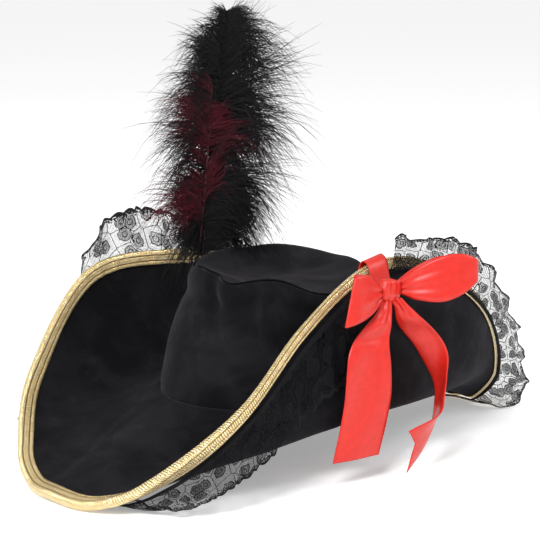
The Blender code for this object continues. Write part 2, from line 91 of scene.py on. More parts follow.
def roundSpline(stations, angles, pick):
    # values on a closed smooth curve through what pick takes from each station
    places = np.array([entry[0] for entry in stations], float)
    values = np.array([np.atleast_1d(pick(entry)) for entry in stations], float)
    places = np.concatenate([places[-2:] - 360, places, places[:3] + 360])
    values = np.concatenate([values[-2:], values, values[:3]])
    angles = np.asarray(angles, float) % 360
    low = np.searchsorted(places, angles, side="right") - 1
    step = places[low + 1] - places[low]
    t = ((angles - places[low]) / step)[:, None]
    leave = (values[low + 1] - values[low - 1]) * (step / (places[low + 1] - places[low - 1]))[:, None]
    arrive = (values[low + 2] - values[low]) * (step / (places[low + 2] - places[low]))[:, None]
    near = values[low] * (2 * t**3 - 3 * t**2 + 1) + leave * (t**3 - 2 * t**2 + t)
    far = values[low + 1] * (3 * t**2 - 2 * t**3) + arrive * (t**3 - t**2)
    return near + far


def brimGrid(angles, rows):
    # the brim's middle surface and its upper normal; rows holds a share along each section
    bend = roundSpline(brimStations, angles, lambda entry: entry[1])[:, None, :]
    edge = roundSpline(brimStations, angles, lambda entry: entry[2])[:, None, :]
    turn = np.radians(angles)
    across = hat["halfWidth"] + hat["clear"]
    along = hat["halfLength"] + hat["clear"]
    seam = np.stack([across * np.sin(turn), -along * np.cos(turn), np.full(len(turn), hat["seam"])], -1)
    seam = seam[:, None, :]
    t = rows[:, :, None]
    surface = seam * (1 - t) ** 2 + bend * (2 * t * (1 - t)) + edge * t**2
    outward = (bend - seam) * (1 - t) + (edge - bend) * t
    outward /= np.linalg.norm(outward, axis=2, keepdims=True)
    return surface, outward


def brimNormals(angles, rows):
    ahead = brimGrid(np.asarray(angles) + 0.4, rows)[0]
    behind = brimGrid(np.asarray(angles) - 0.4, rows)[0]
    outward = brimGrid(angles, rows)[1]
    normal = np.cross(outward, ahead - behind)
    return normal / np.linalg.norm(normal, axis=2, keepdims=True)


def sharesFromEdge(angles, distances):
    # the share along each section that lies a given distance in from the edge
    steps = 160
    t = np.tile(np.linspace(0, 1, steps + 1), (len(angles), 1))
    line = brimGrid(angles, t)[0]
    pieces = np.linalg.norm(np.diff(line, axis=1), axis=2)
    fromEdge = np.concatenate([np.cumsum(pieces[:, ::-1], axis=1)[:, ::-1], np.zeros((len(angles), 1))], 1)
    found = np.empty((len(angles), len(distances)))
    for k in range(len(angles)):
        found[k] = np.interp(distances, fromEdge[k][::-1], t[k][::-1])
    return found


def finishPiece(name, points, faces, material, uv=None):
    mesh = bpy.data.meshes.new(name)
    mesh.from_pydata(np.asarray(points).reshape(-1, 3).tolist(), [], faces)
    if uv is not None:
        layer = mesh.uv_layers.new(name="UVMap")
        flat = np.asarray(uv).reshape(-1, 2)
        order = np.empty(len(mesh.loops), int)
        mesh.loops.foreach_get("vertex_index", order)
        layer.data.foreach_set("uv", flat[order].astype(float).ravel())
    mesh.shade_smooth()
    mesh.materials.append(material)
    made = bpy.data.objects.new(name, mesh)
    bpy.context.scene.collection.objects.link(made)
    return made


def gridFaces(rows, columns, roundRows=False):
    faces = []
    lastRow = rows if roundRows else rows - 1
    for row in range(lastRow):
        after = (row + 1) % rows
        for k in range(columns - 1):
            low, high = row * columns + k, after * columns + k
            faces.append((low, high, high + 1, low + 1))
    return faces


def pressModifiers(made):
    # applies every modifier on a piece
    bpy.ops.object.select_all(action="DESELECT")
    bpy.context.view_layer.objects.active = made
    made.select_set(True)
    for modifier in list(made.modifiers):
        bpy.ops.object.modifier_apply(modifier=modifier.name)
    made.select_set(False)


def thicken(made, thickness):
    shell = made.modifiers.new("thickness", "SOLIDIFY")
    shell.thickness = thickness
    shell.offset = 0.0
    pressModifiers(made)
    made.data.shade_smooth()
    return made


def pointFaces(made, towards):
    # turns an open cloth's faces outward before it gets its thickness
    body = bmesh.new()
    body.from_mesh(made.data)
    body.normal_update()
    total = sum(face.normal.dot(towards(face.calc_center_median())) for face in body.faces)
    if total < 0:
        bmesh.ops.reverse_faces(body, faces=body.faces)
    body.to_mesh(made.data)
    body.free()


def standIn(made, body, node, slot):
    # the piece moves with a body and takes the place of a node
    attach(made, body)
    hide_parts(node)


def meshArea(made):
    return sum(face.area for face in made.data.polygons)


def fill(tree, socket, value):
    # a socket is joined to another one, or given its value
    if isinstance(value, bpy.types.NodeSocket):
        tree.links.new(value, socket)
    else:
        socket.default_value = value


def addNode(tree, kind, sockets=None, **settings):
    made = tree.nodes.new(kind)
    for key, value in settings.items():
        setattr(made, key, value)
    for key, value in (sockets or {}).items():
        fill(tree, made.inputs[key], value)
    return made


def sums(tree, operation, first, second=0.0, third=0.0, clamp=False):
    made = addNode(tree, "ShaderNodeMath", {0: first, 1: second, 2: third}, operation=operation)
    made.use_clamp = clamp
    return made.outputs[0]


def noise(tree, place, scale, detail, **others):
    # cloudy unevenness at a scale in waves per metre
    sockets = {"Vector": place, "Scale": scale, "Detail": detail}
    return addNode(tree, "ShaderNodeTexNoise", sockets | others).outputs[0]


def smoothStep(tree, value, low, high):
    made = addNode(tree, "ShaderNodeMapRange", {"Value": value, "From Min": low, "From Max": high})
    made.interpolation_type = "SMOOTHSTEP"
    return made.outputs[0]


def colourMix(tree, share, first, second):
    made = addNode(tree, "ShaderNodeMix", {0: share}, data_type="RGBA")
    for index, value in ((6, first), (7, second)):
        fill(tree, made.inputs[index], value if isinstance(value, bpy.types.NodeSocket) else (*value, 1))
    return made.outputs[2]


def newGroup(name, inputs, outputs):
    # a group that takes a place and some numbers, and gives out masks and heights
    group = bpy.data.node_groups.new(name, "ShaderNodeTree")
    group.interface.new_socket("Vector", in_out="INPUT", socket_type="NodeSocketVector")
    for label, value in inputs.items():
        socket = group.interface.new_socket(label, in_out="INPUT", socket_type="NodeSocketFloat")
        socket.default_value = value
    for label in outputs:
        group.interface.new_socket(label, in_out="OUTPUT", socket_type="NodeSocketFloat")
    start = group.nodes.new("NodeGroupInput")
    end = group.nodes.new("NodeGroupOutput")
    return group, start.outputs, end.inputs


def napGroup():
    # short pile: fine speckle, and broader brushed patches where the pile lies another way
    group, given, result = newGroup("pileNap", {"Fine": 1400.0, "Broad": 26.0, "Crush": 0.5}, ["Patch", "Height"])
    fine = noise(group, given["Vector"], given["Fine"], 2.0)
    broad = noise(group, given["Vector"], given["Broad"], 5.0, Roughness=0.6, Distortion=0.6)
    patch = smoothStep(group, broad, 0.36, 0.66)
    speckle = sums(group, "MULTIPLY", fine, 0.35)
    crushed = sums(group, "MULTIPLY", patch, given["Crush"])
    group.links.new(sums(group, "ADD", crushed, speckle), result["Patch"])
    height = sums(group, "ADD", fine, sums(group, "MULTIPLY", patch, 0.9))
    group.links.new(height, result["Height"])
    return group


def weaveGroup():
    # plain weave on the cloth's own UV, in metres: threads over and under
    given = {"Along": 2500.0, "Across": 2500.0, "Unevenness": 0.3}
    group, given, result = newGroup("threadWeave", given, ["Thread", "Slub"])
    parts = addNode(group, "ShaderNodeSeparateXYZ", {0: given["Vector"]})
    waved = []
    for axis, count in ((0, given["Along"]), (1, given["Across"])):
        wave = sums(group, "SINE", sums(group, "MULTIPLY", parts.outputs[axis], count))
        waved.append(sums(group, "ABSOLUTE", wave))
    thread = sums(group, "MULTIPLY", sums(group, "ADD", *waved), 0.5)
    slub = noise(group, given["Vector"], 180.0, 4.0)
    uneven = sums(group, "MULTIPLY", slub, given["Unevenness"])
    group.links.new(sums(group, "ADD", thread, uneven), result["Thread"])
    group.links.new(slub, result["Slub"])
    return group


def wearGroup():
    # dust and rubbing: pale, broken-up patches
    group, given, result = newGroup("rubAndDust", {"Scale": 60.0, "Amount": 0.2}, ["Mask"])
    mask = smoothStep(group, noise(group, given["Vector"], given["Scale"], 8.0, Roughness=0.7), 0.52, 0.74)
    group.links.new(sums(group, "MULTIPLY", mask, given["Amount"]), result["Mask"])
    return group


groups = {"nap": napGroup(), "weave": weaveGroup(), "wear": wearGroup()}


def useGroup(tree, name, sockets):
    made = addNode(tree, "ShaderNodeGroup", node_tree=groups[name])
    for key, value in sockets.items():
        fill(tree, made.inputs[key], value)
    return made


def startMaterial(name, **constants):
    material = bpy.data.materials.new(name)
    material.use_nodes = True
    tree = material.node_tree
    shader = tree.nodes["Principled BSDF"]
    for key, value in constants.items():
        shader.inputs[key.replace("_", " ")].default_value = value
    places = tree.nodes.new("ShaderNodeTexCoord")
    return material, tree, shader, places.outputs["Object"], places.outputs["UV"]


def feed(tree, shader, **values):
    # joins changing colours and values to the shader's sockets
    for key, value in values.items():
        tree.links.new(value, shader.inputs[key.replace("_", " ")])


def bumpInto(tree, shader, height, distance, strength=1.0):
    bump = addNode(tree, "ShaderNodeBump", {"Height": height, "Distance": distance, "Strength": strength})
    tree.links.new(bump.outputs[0], shader.inputs["Normal"])


def velvetMaterial(name, deep, paintedSheenTone, sheen):
    material, tree, shader, place, _ = startMaterial(
        name, Sheen_Weight=sheen, Sheen_Roughness=0.38, Sheen_Tint=(0.50, 0.46, 0.55, 1),
        Specular_IOR_Level=0.12)
    nap = useGroup(tree, "nap", {"Vector": place, "Crush": 0.75})
    wear = useGroup(tree, "wear", {"Vector": place, "Scale": 45.0, "Amount": 0.16})
    # patches where the pile lies another way are painted in the lighter tone: painted sheen of the crushed pile over
    # the near-black velvet
    cloth = colourMix(tree, nap.outputs["Patch"], deep, paintedSheenTone)
    dusty = colourMix(tree, wear.outputs["Mask"], cloth, (0.050, 0.046, 0.052))
    feed(tree, shader, Base_Color=dusty, Roughness=sums(tree, "MULTIPLY_ADD", nap.outputs["Patch"], -0.16, 0.96))
    bumpInto(tree, shader, nap.outputs["Height"], 0.0007, 0.55)
    return material


def satinMaterial(name, colour, shade):
    material, tree, shader, place, uv = startMaterial(name, Anisotropic=0.45, Specular_IOR_Level=0.5)
    weave = useGroup(tree, "weave", {"Vector": uv, "Along": 9000.0, "Across": 4200.0, "Unevenness": 0.8})
    wear = useGroup(tree, "wear", {"Vector": place, "Scale": 90.0, "Amount": 0.25})
    cloth = colourMix(tree, weave.outputs["Slub"], colour, shade)
    feed(tree, shader, Base_Color=colourMix(tree, wear.outputs["Mask"], cloth, shade),
         Roughness=sums(tree, "MULTIPLY_ADD", weave.outputs["Slub"], 0.14, 0.24))
    bumpInto(tree, shader, weave.outputs["Thread"], 0.00006, 0.5)
    return material


# metres across the tape from its middle, and ribs in radians a metre
braidCloth = {"half": 0.0130, "stitch": 0.0108, "fold": 0.0062, "groove": 0.0008, "ribs": 1650.0}


def braidMaterial():
    # folded metal-thread braid: ribs across the tape, and lines of stitching along it
    material, tree, shader, place, uv = startMaterial("goldBraid", Specular_IOR_Level=0.7)
    parts = addNode(tree, "ShaderNodeSeparateXYZ", {0: uv})
    wander = noise(tree, place, 130.0, 3.0)
    lean = sums(tree, "MULTIPLY_ADD", wander, 0.0030, parts.outputs[0])
    slant = sums(tree, "MULTIPLY_ADD", parts.outputs[1], 0.35, lean)
    rib = sums(tree, "ABSOLUTE", sums(tree, "SINE", sums(tree, "MULTIPLY", slant, braidCloth["ribs"])))
    fold = noise(tree, place, 520.0, 5.0, Roughness=0.65)
    # the ribs are painted dark brown in their hollows and pale gold on their crests: painted shade and painted
    # highlight across the ribs
    ribShadeAndHighlight = colourMix(tree, rib, (0.40, 0.25, 0.08), (0.96, 0.76, 0.38))
    pale = colourMix(tree, smoothStep(tree, fold, 0.45, 0.7), ribShadeAndHighlight, (1.0, 0.88, 0.58))
    fromRim = sums(tree, "ABSOLUTE", sums(tree, "SUBTRACT", parts.outputs[1], braidCloth["half"]))
    grooves = 1.0
    for line in (braidCloth["stitch"], braidCloth["fold"]):
        away = sums(tree, "ABSOLUTE", sums(tree, "SUBTRACT", fromRim, line))
        grooves = sums(tree, "MULTIPLY", grooves, smoothStep(tree, away, 0.0, braidCloth["groove"]))
    pale = colourMix(tree, grooves, (0.36, 0.22, 0.08), pale)
    wear = useGroup(tree, "wear", {"Vector": place, "Scale": 70.0, "Amount": 0.22}).outputs["Mask"]
    feed(tree, shader, Base_Color=colourMix(tree, wear, pale, (0.42, 0.27, 0.10)),
         Metallic=sums(tree, "MULTIPLY_ADD", fold, -0.3, 0.92, True),
         Roughness=sums(tree, "MULTIPLY_ADD", wear, 0.35, 0.20))
    height = sums(tree, "ADD", rib, sums(tree, "MULTIPLY_ADD", grooves, 1.5, fold))
    bumpInto(tree, shader, height, 0.0005, 0.9)
    return material


laceCloth = {"width": 0.045, "net": 0.0011, "motif": 0.0145, "scallop": 0.011, "border": 0.005, "dots": 1 / 480}


def laceMaterial(name, netCover, strongCover):
    # black machine lace on its own UV: a fine net, hatched petals with corded outlines,
    # and a dense scalloped border; beyond the scallops there is nothing
    material, tree, shader, place, uv = startMaterial(name, Specular_IOR_Level=0.12)
    parts = addNode(tree, "ShaderNodeSeparateXYZ", {0: uv})
    along, across = parts.outputs[0], parts.outputs[1]

    def cells(size, evenness, feature):
        sockets = {"Vector": uv, "Scale": 1 / size, "Randomness": evenness}
        made = addNode(tree, "ShaderNodeTexVoronoi", sockets, feature=feature, voronoi_dimensions="2D")
        return made.outputs["Distance"]

    def closeTo(value, line, width):
        away = sums(tree, "ABSOLUTE", sums(tree, "SUBTRACT", value, line))
        return sums(tree, "LESS_THAN", away, width)

    netThread = sums(tree, "LESS_THAN", cells(laceCloth["net"], 0.35, "DISTANCE_TO_EDGE"), netCover)
    heart = cells(laceCloth["motif"], 0.8, "F1")
    wobble = noise(tree, uv, 210.0, 1.0)
    leafEdge = sums(tree, "MULTIPLY_ADD", wobble, 0.34, 0.20)
    outline = closeTo(heart, leafEdge, 0.026)
    inner = closeTo(heart, sums(tree, "MULTIPLY", leafEdge, 0.42), 0.022)
    inside = sums(tree, "LESS_THAN", heart, leafEdge)
    hatchPlace = sums(tree, "MULTIPLY_ADD", across, 7000.0, sums(tree, "MULTIPLY", along, 3200.0))
    hatch = sums(tree, "MULTIPLY", inside, sums(tree, "GREATER_THAN", sums(tree, "SINE", hatchPlace), 0.15))
    stem = sums(tree, "LESS_THAN", cells(laceCloth["motif"], 0.8, "DISTANCE_TO_EDGE"), 0.018)
    arch = sums(tree, "ABSOLUTE", sums(tree, "SINE", sums(tree, "MULTIPLY", along, pi / laceCloth["scallop"])))
    hem = sums(tree, "MULTIPLY_ADD", arch, 0.0024, laceCloth["width"] - 0.0030)
    past = sums(tree, "SUBTRACT", across, hem)
    inCloth = sums(tree, "LESS_THAN", past, 0.0)
    border = sums(tree, "MULTIPLY", sums(tree, "GREATER_THAN", past, -0.0022), inCloth)
    dots = sums(tree, "LESS_THAN", cells(laceCloth["dots"], 0.5, "F1"), 0.42)
    band = sums(tree, "MULTIPLY", sums(tree, "GREATER_THAN", past, -laceCloth["border"]), dots)
    heading = sums(tree, "LESS_THAN", across, 0.004)
    cover = netThread
    for mark in (outline, inner, hatch, stem, border, band, heading):
        cover = sums(tree, "MAXIMUM", cover, mark)
    solid = sums(tree, "MULTIPLY", sums(tree, "MULTIPLY", cover, inCloth), strongCover)
    wear = useGroup(tree, "wear", {"Vector": place, "Scale": 120.0, "Amount": 0.6}).outputs["Mask"]
    feed(tree, shader, Alpha=solid,
         Base_Color=colourMix(tree, wear, (0.0050, 0.0050, 0.0062), (0.018, 0.017, 0.020)),
         Roughness=sums(tree, "MULTIPLY_ADD", wear, 0.2, 0.72))
    bumpInto(tree, shader, cover, 0.0002, 0.4)
    return material


def clothMaterial(name, colour, shade, roughness, fineness):
    # plain cloth or thread, with its weave wrapped round the hat
    material, tree, shader, place, _ = startMaterial(name, Sheen_Weight=0.2, Specular_IOR_Level=0.3)
    parts = addNode(tree, "ShaderNodeSeparateXYZ", {0: place})
    turn = sums(tree, "MULTIPLY", sums(tree, "ARCTAN2", parts.outputs[0], parts.outputs[1]), 0.09)
    wrapped = addNode(tree, "ShaderNodeCombineXYZ", {0: turn, 1: parts.outputs[2], 2: 0.0}).outputs[0]
    weave = useGroup(tree, "weave", {"Vector": wrapped, "Along": fineness, "Across": fineness, "Unevenness": 0.6})
    wear = useGroup(tree, "wear", {"Vector": place, "Scale": 50.0, "Amount": 0.35}).outputs["Mask"]
    cloth = colourMix(tree, weave.outputs["Slub"], colour, shade)
    feed(tree, shader, Base_Color=colourMix(tree, wear, cloth, shade),
         Roughness=sums(tree, "MULTIPLY_ADD", weave.outputs["Slub"], 0.15, roughness - 0.07))
    bumpInto(tree, shader, weave.outputs["Thread"], 0.00015, 0.6)
    return material


def feltMaterial(name, colour, shade):
    material, tree, shader, place, _ = startMaterial(name, Sheen_Weight=0.4, Specular_IOR_Level=0.15)
    nap = useGroup(tree, "nap", {"Vector": place, "Fine": 900.0, "Broad": 160.0, "Crush": 0.6})
    feed(tree, shader, Base_Color=colourMix(tree, nap.outputs["Patch"], colour, shade),
         Roughness=sums(tree, "MULTIPLY_ADD", nap.outputs["Patch"], -0.1, 0.98))
    bumpInto(tree, shader, nap.outputs["Height"], 0.0005, 0.7)
    return material


def steelMaterial():
    material, tree, shader, place, _ = startMaterial("milliners_wire", Metallic=1.0)
    wear = useGroup(tree, "wear", {"Vector": place, "Scale": 300.0, "Amount": 0.7}).outputs["Mask"]
    feed(tree, shader, Base_Color=colourMix(tree, wear, (0.42, 0.42, 0.43), (0.20, 0.16, 0.13)),
         Roughness=sums(tree, "MULTIPLY_ADD", wear, 0.4, 0.32))
    bumpInto(tree, shader, wear, 0.00005, 0.5)
    return material


def flueMaterial(name, dark, light, gloss):
    # feather flue: colour runs unevenly from strand to strand
    material, tree, shader, place, _ = startMaterial(
        name, Sheen_Weight=0.04, Sheen_Roughness=0.4, Specular_IOR_Level=0.22)
    strand, drift = noise(tree, place, 320.0, 3.0), noise(tree, place, 30.0, 2.0)
    tone = sums(tree, "MULTIPLY", strand, smoothStep(tree, drift, 0.30, 0.72), clamp=True)
    feed(tree, shader, Base_Color=colourMix(tree, tone, dark, light),
         Roughness=sums(tree, "MULTIPLY_ADD", strand, 0.25, gloss))
    return material


def hornMaterial(name, dark, light):
    material, tree, shader, place, _ = startMaterial(name, Specular_IOR_Level=0.5)
    grain = noise(tree, place, 420.0, 4.0)
    feed(tree, shader, Base_Color=colourMix(tree, grain, dark, light),
         Roughness=sums(tree, "MULTIPLY_ADD", grain, 0.3, 0.3))
    bumpInto(tree, shader, grain, 0.0001, 0.4)
    return material


print("materials")
velvetCrown = velvetMaterial("velvetCrown", (0.0026, 0.0025, 0.0031), (0.0105, 0.0096, 0.0118), 0.12)
velvetBrim = velvetMaterial("velvetBrim", (0.0022, 0.0021, 0.0027), (0.0080, 0.0073, 0.0092), 0.09)
velvetUnder = velvetMaterial("velvetUnder", (0.0022, 0.0021, 0.0027), (0.0080, 0.0073, 0.0092), 0.09)
redSatin = satinMaterial("redSatin", (0.76, 0.028, 0.014), (0.55, 0.012, 0.008))
goldBraid = braidMaterial()
blackLace = laceMaterial("blackLace", 0.075, 0.90)
liningCloth = clothMaterial("liningCloth", (0.020, 0.020, 0.023), (0.034, 0.033, 0.038), 0.5, 4200.0)
bandCloth = clothMaterial("bandCloth", (0.016, 0.016, 0.018), (0.030, 0.029, 0.032), 0.75, 2100.0)
stiffFelt = feltMaterial("stiffFelt", (0.045, 0.045, 0.050), (0.090, 0.088, 0.095))
patchFelt = feltMaterial("patchFelt", (0.012, 0.012, 0.014), (0.030, 0.029, 0.032))
wireSteel = steelMaterial()
blackFlue = flueMaterial("blackFlue", (0.0030, 0.0030, 0.0038), (0.012, 0.0115, 0.014), 0.46)
redFlue = flueMaterial("redFlue", (0.035, 0.002, 0.005), (0.17, 0.007, 0.022), 0.45)
quillHorn = hornMaterial("quillHorn", (0.010, 0.009, 0.008), (0.05, 0.04, 0.035))
redHorn = hornMaterial("redHorn", (0.03, 0.004, 0.006), (0.10, 0.02, 0.02))
blackThread = clothMaterial("blackThread", (0.012, 0.012, 0.014), (0.03, 0.03, 0.034), 0.7, 9000.0)
redThread = clothMaterial("redThread", (0.30, 0.02, 0.012), (0.42, 0.04, 0.02), 0.6, 9000.0)


view = {"azimuth": 48.1, "elevation": 10.8, "distance": 1.398, "lens": 120.6, "aim": (-0.0102, -0.0018, 0.1353)}


def setCamera():
    target = Vector(hatPlace + np.array(view["aim"]))
    turn, lift = radians(view["azimuth"]), radians(view["elevation"])
    away = Vector((sin(turn) * cos(lift), -cos(turn) * cos(lift), sin(lift)))
    lens = bpy.data.cameras.new("camera")
    lens.lens = view["lens"]
    lens.sensor_width = 36
    eye = bpy.data.objects.new("camera", lens)
    eye.location = target + away * view["distance"]
    eye.rotation_euler = away.to_track_quat("Z", "Y").to_euler()
    bpy.context.scene.collection.objects.link(eye)
    bpy.context.scene.camera = eye


# each lamp: place, power in watts, width in metres
studio = {
    "sky": 0.66, "floorGlow": 0.30, "floorSize": 40, "aim": (0, 0, 0.12),
    "lamps": {
        "keyLight": ((0.9, -1.5, 1.9), 42, 0.7),
        "fillLight": ((-1.6, -1.1, 1.0), 8, 1.0),
        "rimLight": ((1.2, 1.6, 1.5), 12, 0.8),
    },
}


def addSoftLight(name, place, power, size):
    lamp = bpy.data.lights.new(name, "AREA")
    lamp.energy = power
    lamp.size = size
    made = bpy.data.objects.new(name, lamp)
    made.location = place
    made.rotation_euler = (Vector(studio["aim"]) - Vector(place)).to_track_quat("-Z", "Y").to_euler()
    bpy.context.scene.collection.objects.link(made)


def setStudio():
    bpy.ops.object.select_all(action="DESELECT")
    bpy.ops.mesh.primitive_plane_add(size=studio["floorSize"], location=(0, 0, -0.0005))
    floor = bpy.context.object
    floor.name = "floor"
    material, tree, shader, place, _ = startMaterial(
        "paleFloor", Specular_IOR_Level=0.1, Emission_Color=(1, 1, 1, 1), Emission_Strength=studio["floorGlow"])
    speck = noise(tree, place, 2.0, 2.0)
    feed(tree, shader, Base_Color=colourMix(tree, speck, (0.90, 0.90, 0.90), (0.93, 0.93, 0.93)))
    shader.inputs["Roughness"].default_value = 0.9
    floor.data.materials.append(material)
    world = bpy.data.worlds.new("studio")
    world.use_nodes = True
    # the backdrop shows white; what it sheds on the hat is softer, so that the key light shapes it
    tree = world.node_tree
    sky = tree.nodes["Background"]
    sky.inputs["Color"].default_value = (1, 1, 1, 1)
    seen = addNode(tree, "ShaderNodeLightPath").outputs["Is Camera Ray"]
    softened = sums(tree, "MULTIPLY_ADD", seen, 1 - studio["sky"], studio["sky"])
    tree.links.new(softened, sky.inputs["Strength"])
    bpy.context.scene.world = world
    bpy.context.scene.view_settings.view_transform = "Standard"
    for name, (stand, power, width) in studio["lamps"].items():
        addSoftLight(name, stand, power, width)


print("camera and light")
setCamera()
setStudio()


def clothUV(points):
    # metres along the first row and across, from the grid's own edge lengths
    points = np.asarray(points)
    along = np.linalg.norm(np.diff(points, axis=0), axis=2).mean(axis=1)
    across = np.linalg.norm(np.diff(points, axis=1), axis=2)
    u = np.concatenate([[0], np.cumsum(along)])
    v = np.concatenate([np.zeros((len(points), 1)), np.cumsum(across, axis=1)], 1)
    return np.stack([np.repeat(u[:, None], points.shape[1], 1), v], -1)


def waves(count, seed, low=1, high=6):
    # smooth random height round a closed loop of angles in radians
    dice = random.Random(seed)
    parts = [(dice.randint(low, high), dice.uniform(0, 2 * pi), dice.uniform(0.4, 1.0)) for _ in range(count)]

    def height(turn):
        total = sum(size * np.sin(rounds * turn + start) for rounds, start, size in parts)
        return total / sum(size for _, _, size in parts)

    return height


def gridPiece(name, points, material, outward, thickness, closed=False, uv=None):
    # an open sheet from a grid of points, thickened; closed joins the last row to the first
    points = np.asarray(points)
    if uv is None:
        uv = clothUV(points)
    if closed:
        # the seam row is doubled so that the pattern can run round without a jump
        points = np.concatenate([points, points[:1]], 0)
        step = uv[-1] - uv[-2]
        uv = np.concatenate([uv, (uv[-1] + step)[None]], 0)
    made = finishPiece(name, points + hatPlace, gridFaces(points.shape[0], points.shape[1]), material, uv)
    if closed:
        body = bmesh.new()
        body.from_mesh(made.data)
        bmesh.ops.remove_doubles(body, verts=body.verts, dist=1e-6)
        body.to_mesh(made.data)
        body.free()
    pointFaces(made, outward)
    return thicken(made, thickness)


brimCloth = {"fine": 288, "across": 40, "offset": 0.0018, "seamIn": 0.0033, "seamDrop": 0.0006, "hem": 0.0016}
creases = [
    # points on the brim in plan, width, and how far the cloth lifts or sinks there
    (((-0.040, -0.120), (-0.030, -0.155), (-0.015, -0.196)), 0.0050, -0.0022),
    (((0.062, -0.125), (0.056, -0.158), (0.050, -0.185)), 0.0060, 0.0020),
    (((0.070, -0.115), (0.072, -0.140)), 0.0050, -0.0018),
    (((-0.070, -0.095), (-0.090, -0.120), (-0.105, -0.140)), 0.0080, 0.0018),
    (((-0.088, -0.030), (-0.118, -0.045)), 0.0100, 0.0016),
    (((0.020, -0.125), (0.020, -0.170), (0.012, -0.205)), 0.0080, 0.0016),
    (((0.000, 0.120), (0.000, 0.165), (0.004, 0.200)), 0.0060, -0.0018),
    (((-0.060, 0.110), (-0.075, 0.140)), 0.0080, 0.0016),
]


def nearLine(points, line):
    # distance in plan from each point to a bent line
    best = np.full(points.shape[:2], 1e9)
    for (ax, ay), (bx, by) in zip(line, line[1:]):
        start, reach = np.array([ax, ay]), np.array([bx - ax, by - ay])
        t = np.clip(((points[..., :2] - start) @ reach) / (reach @ reach), 0, 1)
        near = start + t[..., None] * reach
        best = np.minimum(best, np.linalg.norm(points[..., :2] - near, axis=-1))
    return best


def brimLift(points, rows):
    # creases and soft unevenness of the cloth, nothing at the seam or the edge
    lift = np.zeros(points.shape[:2])
    for line, width, height in creases:
        lift += height * 0.5 * np.exp(-((nearLine(points, line) / width) ** 2))
    low, high = waves(9, 11, 2, 9), waves(9, 12, 7, 23)
    turn = np.linspace(0, 2 * pi, points.shape[0], endpoint=False)[:, None]
    lift += 0.0005 * low(turn + 2.2 * rows) + 0.00022 * high(turn * 1.0 - 1.7 * rows)
    return lift * np.clip(rows / 0.12, 0, 1) * np.clip((1 - rows) / 0.10, 0, 1)


def makeBrimCloth():
    angles = np.linspace(0, 360, brimCloth["fine"], endpoint=False)
    ease = np.linspace(0, 1, brimCloth["across"])
    lastShare = sharesFromEdge(angles, [brimCloth["hem"]])[:, 0]
    rows = ease[None, :] * lastShare[:, None]
    surface, _ = brimGrid(angles, rows)
    normal = brimNormals(angles, rows)
    lift = brimLift(surface, np.tile(ease, (len(angles), 1)))
    for name, sign, material, node in (("brimTopVelvet", 1, velvetBrim, "brim_top_cover"),
                                       ("brimUnderVelvet", -1, velvetUnder, "brim_under_cover")):
        offset = sign * brimCloth["offset"] + 0.75 * lift
        points = surface + normal * offset[..., None]
        if sign > 0:
            # the velvet runs in to the crown's seam
            first = points[:, :1]
            inward = first * np.array((0, 0, 1.0)) - first
            inward /= np.linalg.norm(inward, axis=2, keepdims=True)
            turned = first + inward * brimCloth["seamIn"] - np.array((0, 0, brimCloth["seamDrop"]))
            points = np.concatenate([turned, points], 1)
        made = gridPiece(name, points, material, lambda place: Vector((0, 0, sign)), hat["cloth"], closed=True)
        standIn(made, "hat", node, "velvet")
        yield made, meshArea(made) / 2


print("brim velvet")
for piece, area in makeBrimCloth():
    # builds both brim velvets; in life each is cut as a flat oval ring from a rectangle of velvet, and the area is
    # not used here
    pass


# folds in the top edge: angle, how wide in degrees, and how far it rises or sinks
crownShape = {
    "tipLevel": 0.137, "fine": 240, "rows": 44, "tipRows": 22, "cloth": 0.001, "seamBelow": 0.0030,
    "crease": (0.0046, 7.5), "ridge": (0.0030, 9.0), "ridgeStep": 13,
    "edgeFolds": [(22, 13, -0.0050), (-12, 14, 0.0028), (52, 15, 0.0022), (85, 18, -0.0020), (200, 25, -0.003)],
}
crownSide = [(0.0, 1.0), (0.12, 0.998), (0.38, 0.955), (0.66, 0.86), (0.88, 0.77), (1.0, 0.725)]
crownTip = [(0.71, 0.0), (0.58, 0.003), (0.42, 0.006), (0.24, 0.008), (0.09, 0.0085), (0.0, 0.0087)]


def bump(value, place, width):
    # one soft hump, 1 high, where value is at its place
    return np.exp(-(((value - place) / width) ** 2))


def turnFrom(degrees, place):
    return (degrees - place + 180) % 360 - 180


def crownEdge(angles):
    return roundSpline(crownTopStations, angles, lambda entry: entry[1])[:, 0]


def crownProfile(rowCount, tipCount):
    # (share of the base's width, rise, sag) down one section, from the seam to the middle of the tip
    rise = np.linspace(0, 1, rowCount)
    share = np.interp(rise, *np.array(crownSide).T)
    share = np.convolve(np.pad(share, 3, mode="edge"), np.ones(7) / 7, "valid")
    inner = np.linspace(0.71, 0.02, tipCount)
    shares, sags = np.array(crownTip)[::-1].T
    sag = np.interp(inner, shares, sags)
    return rise, share, inner, sag


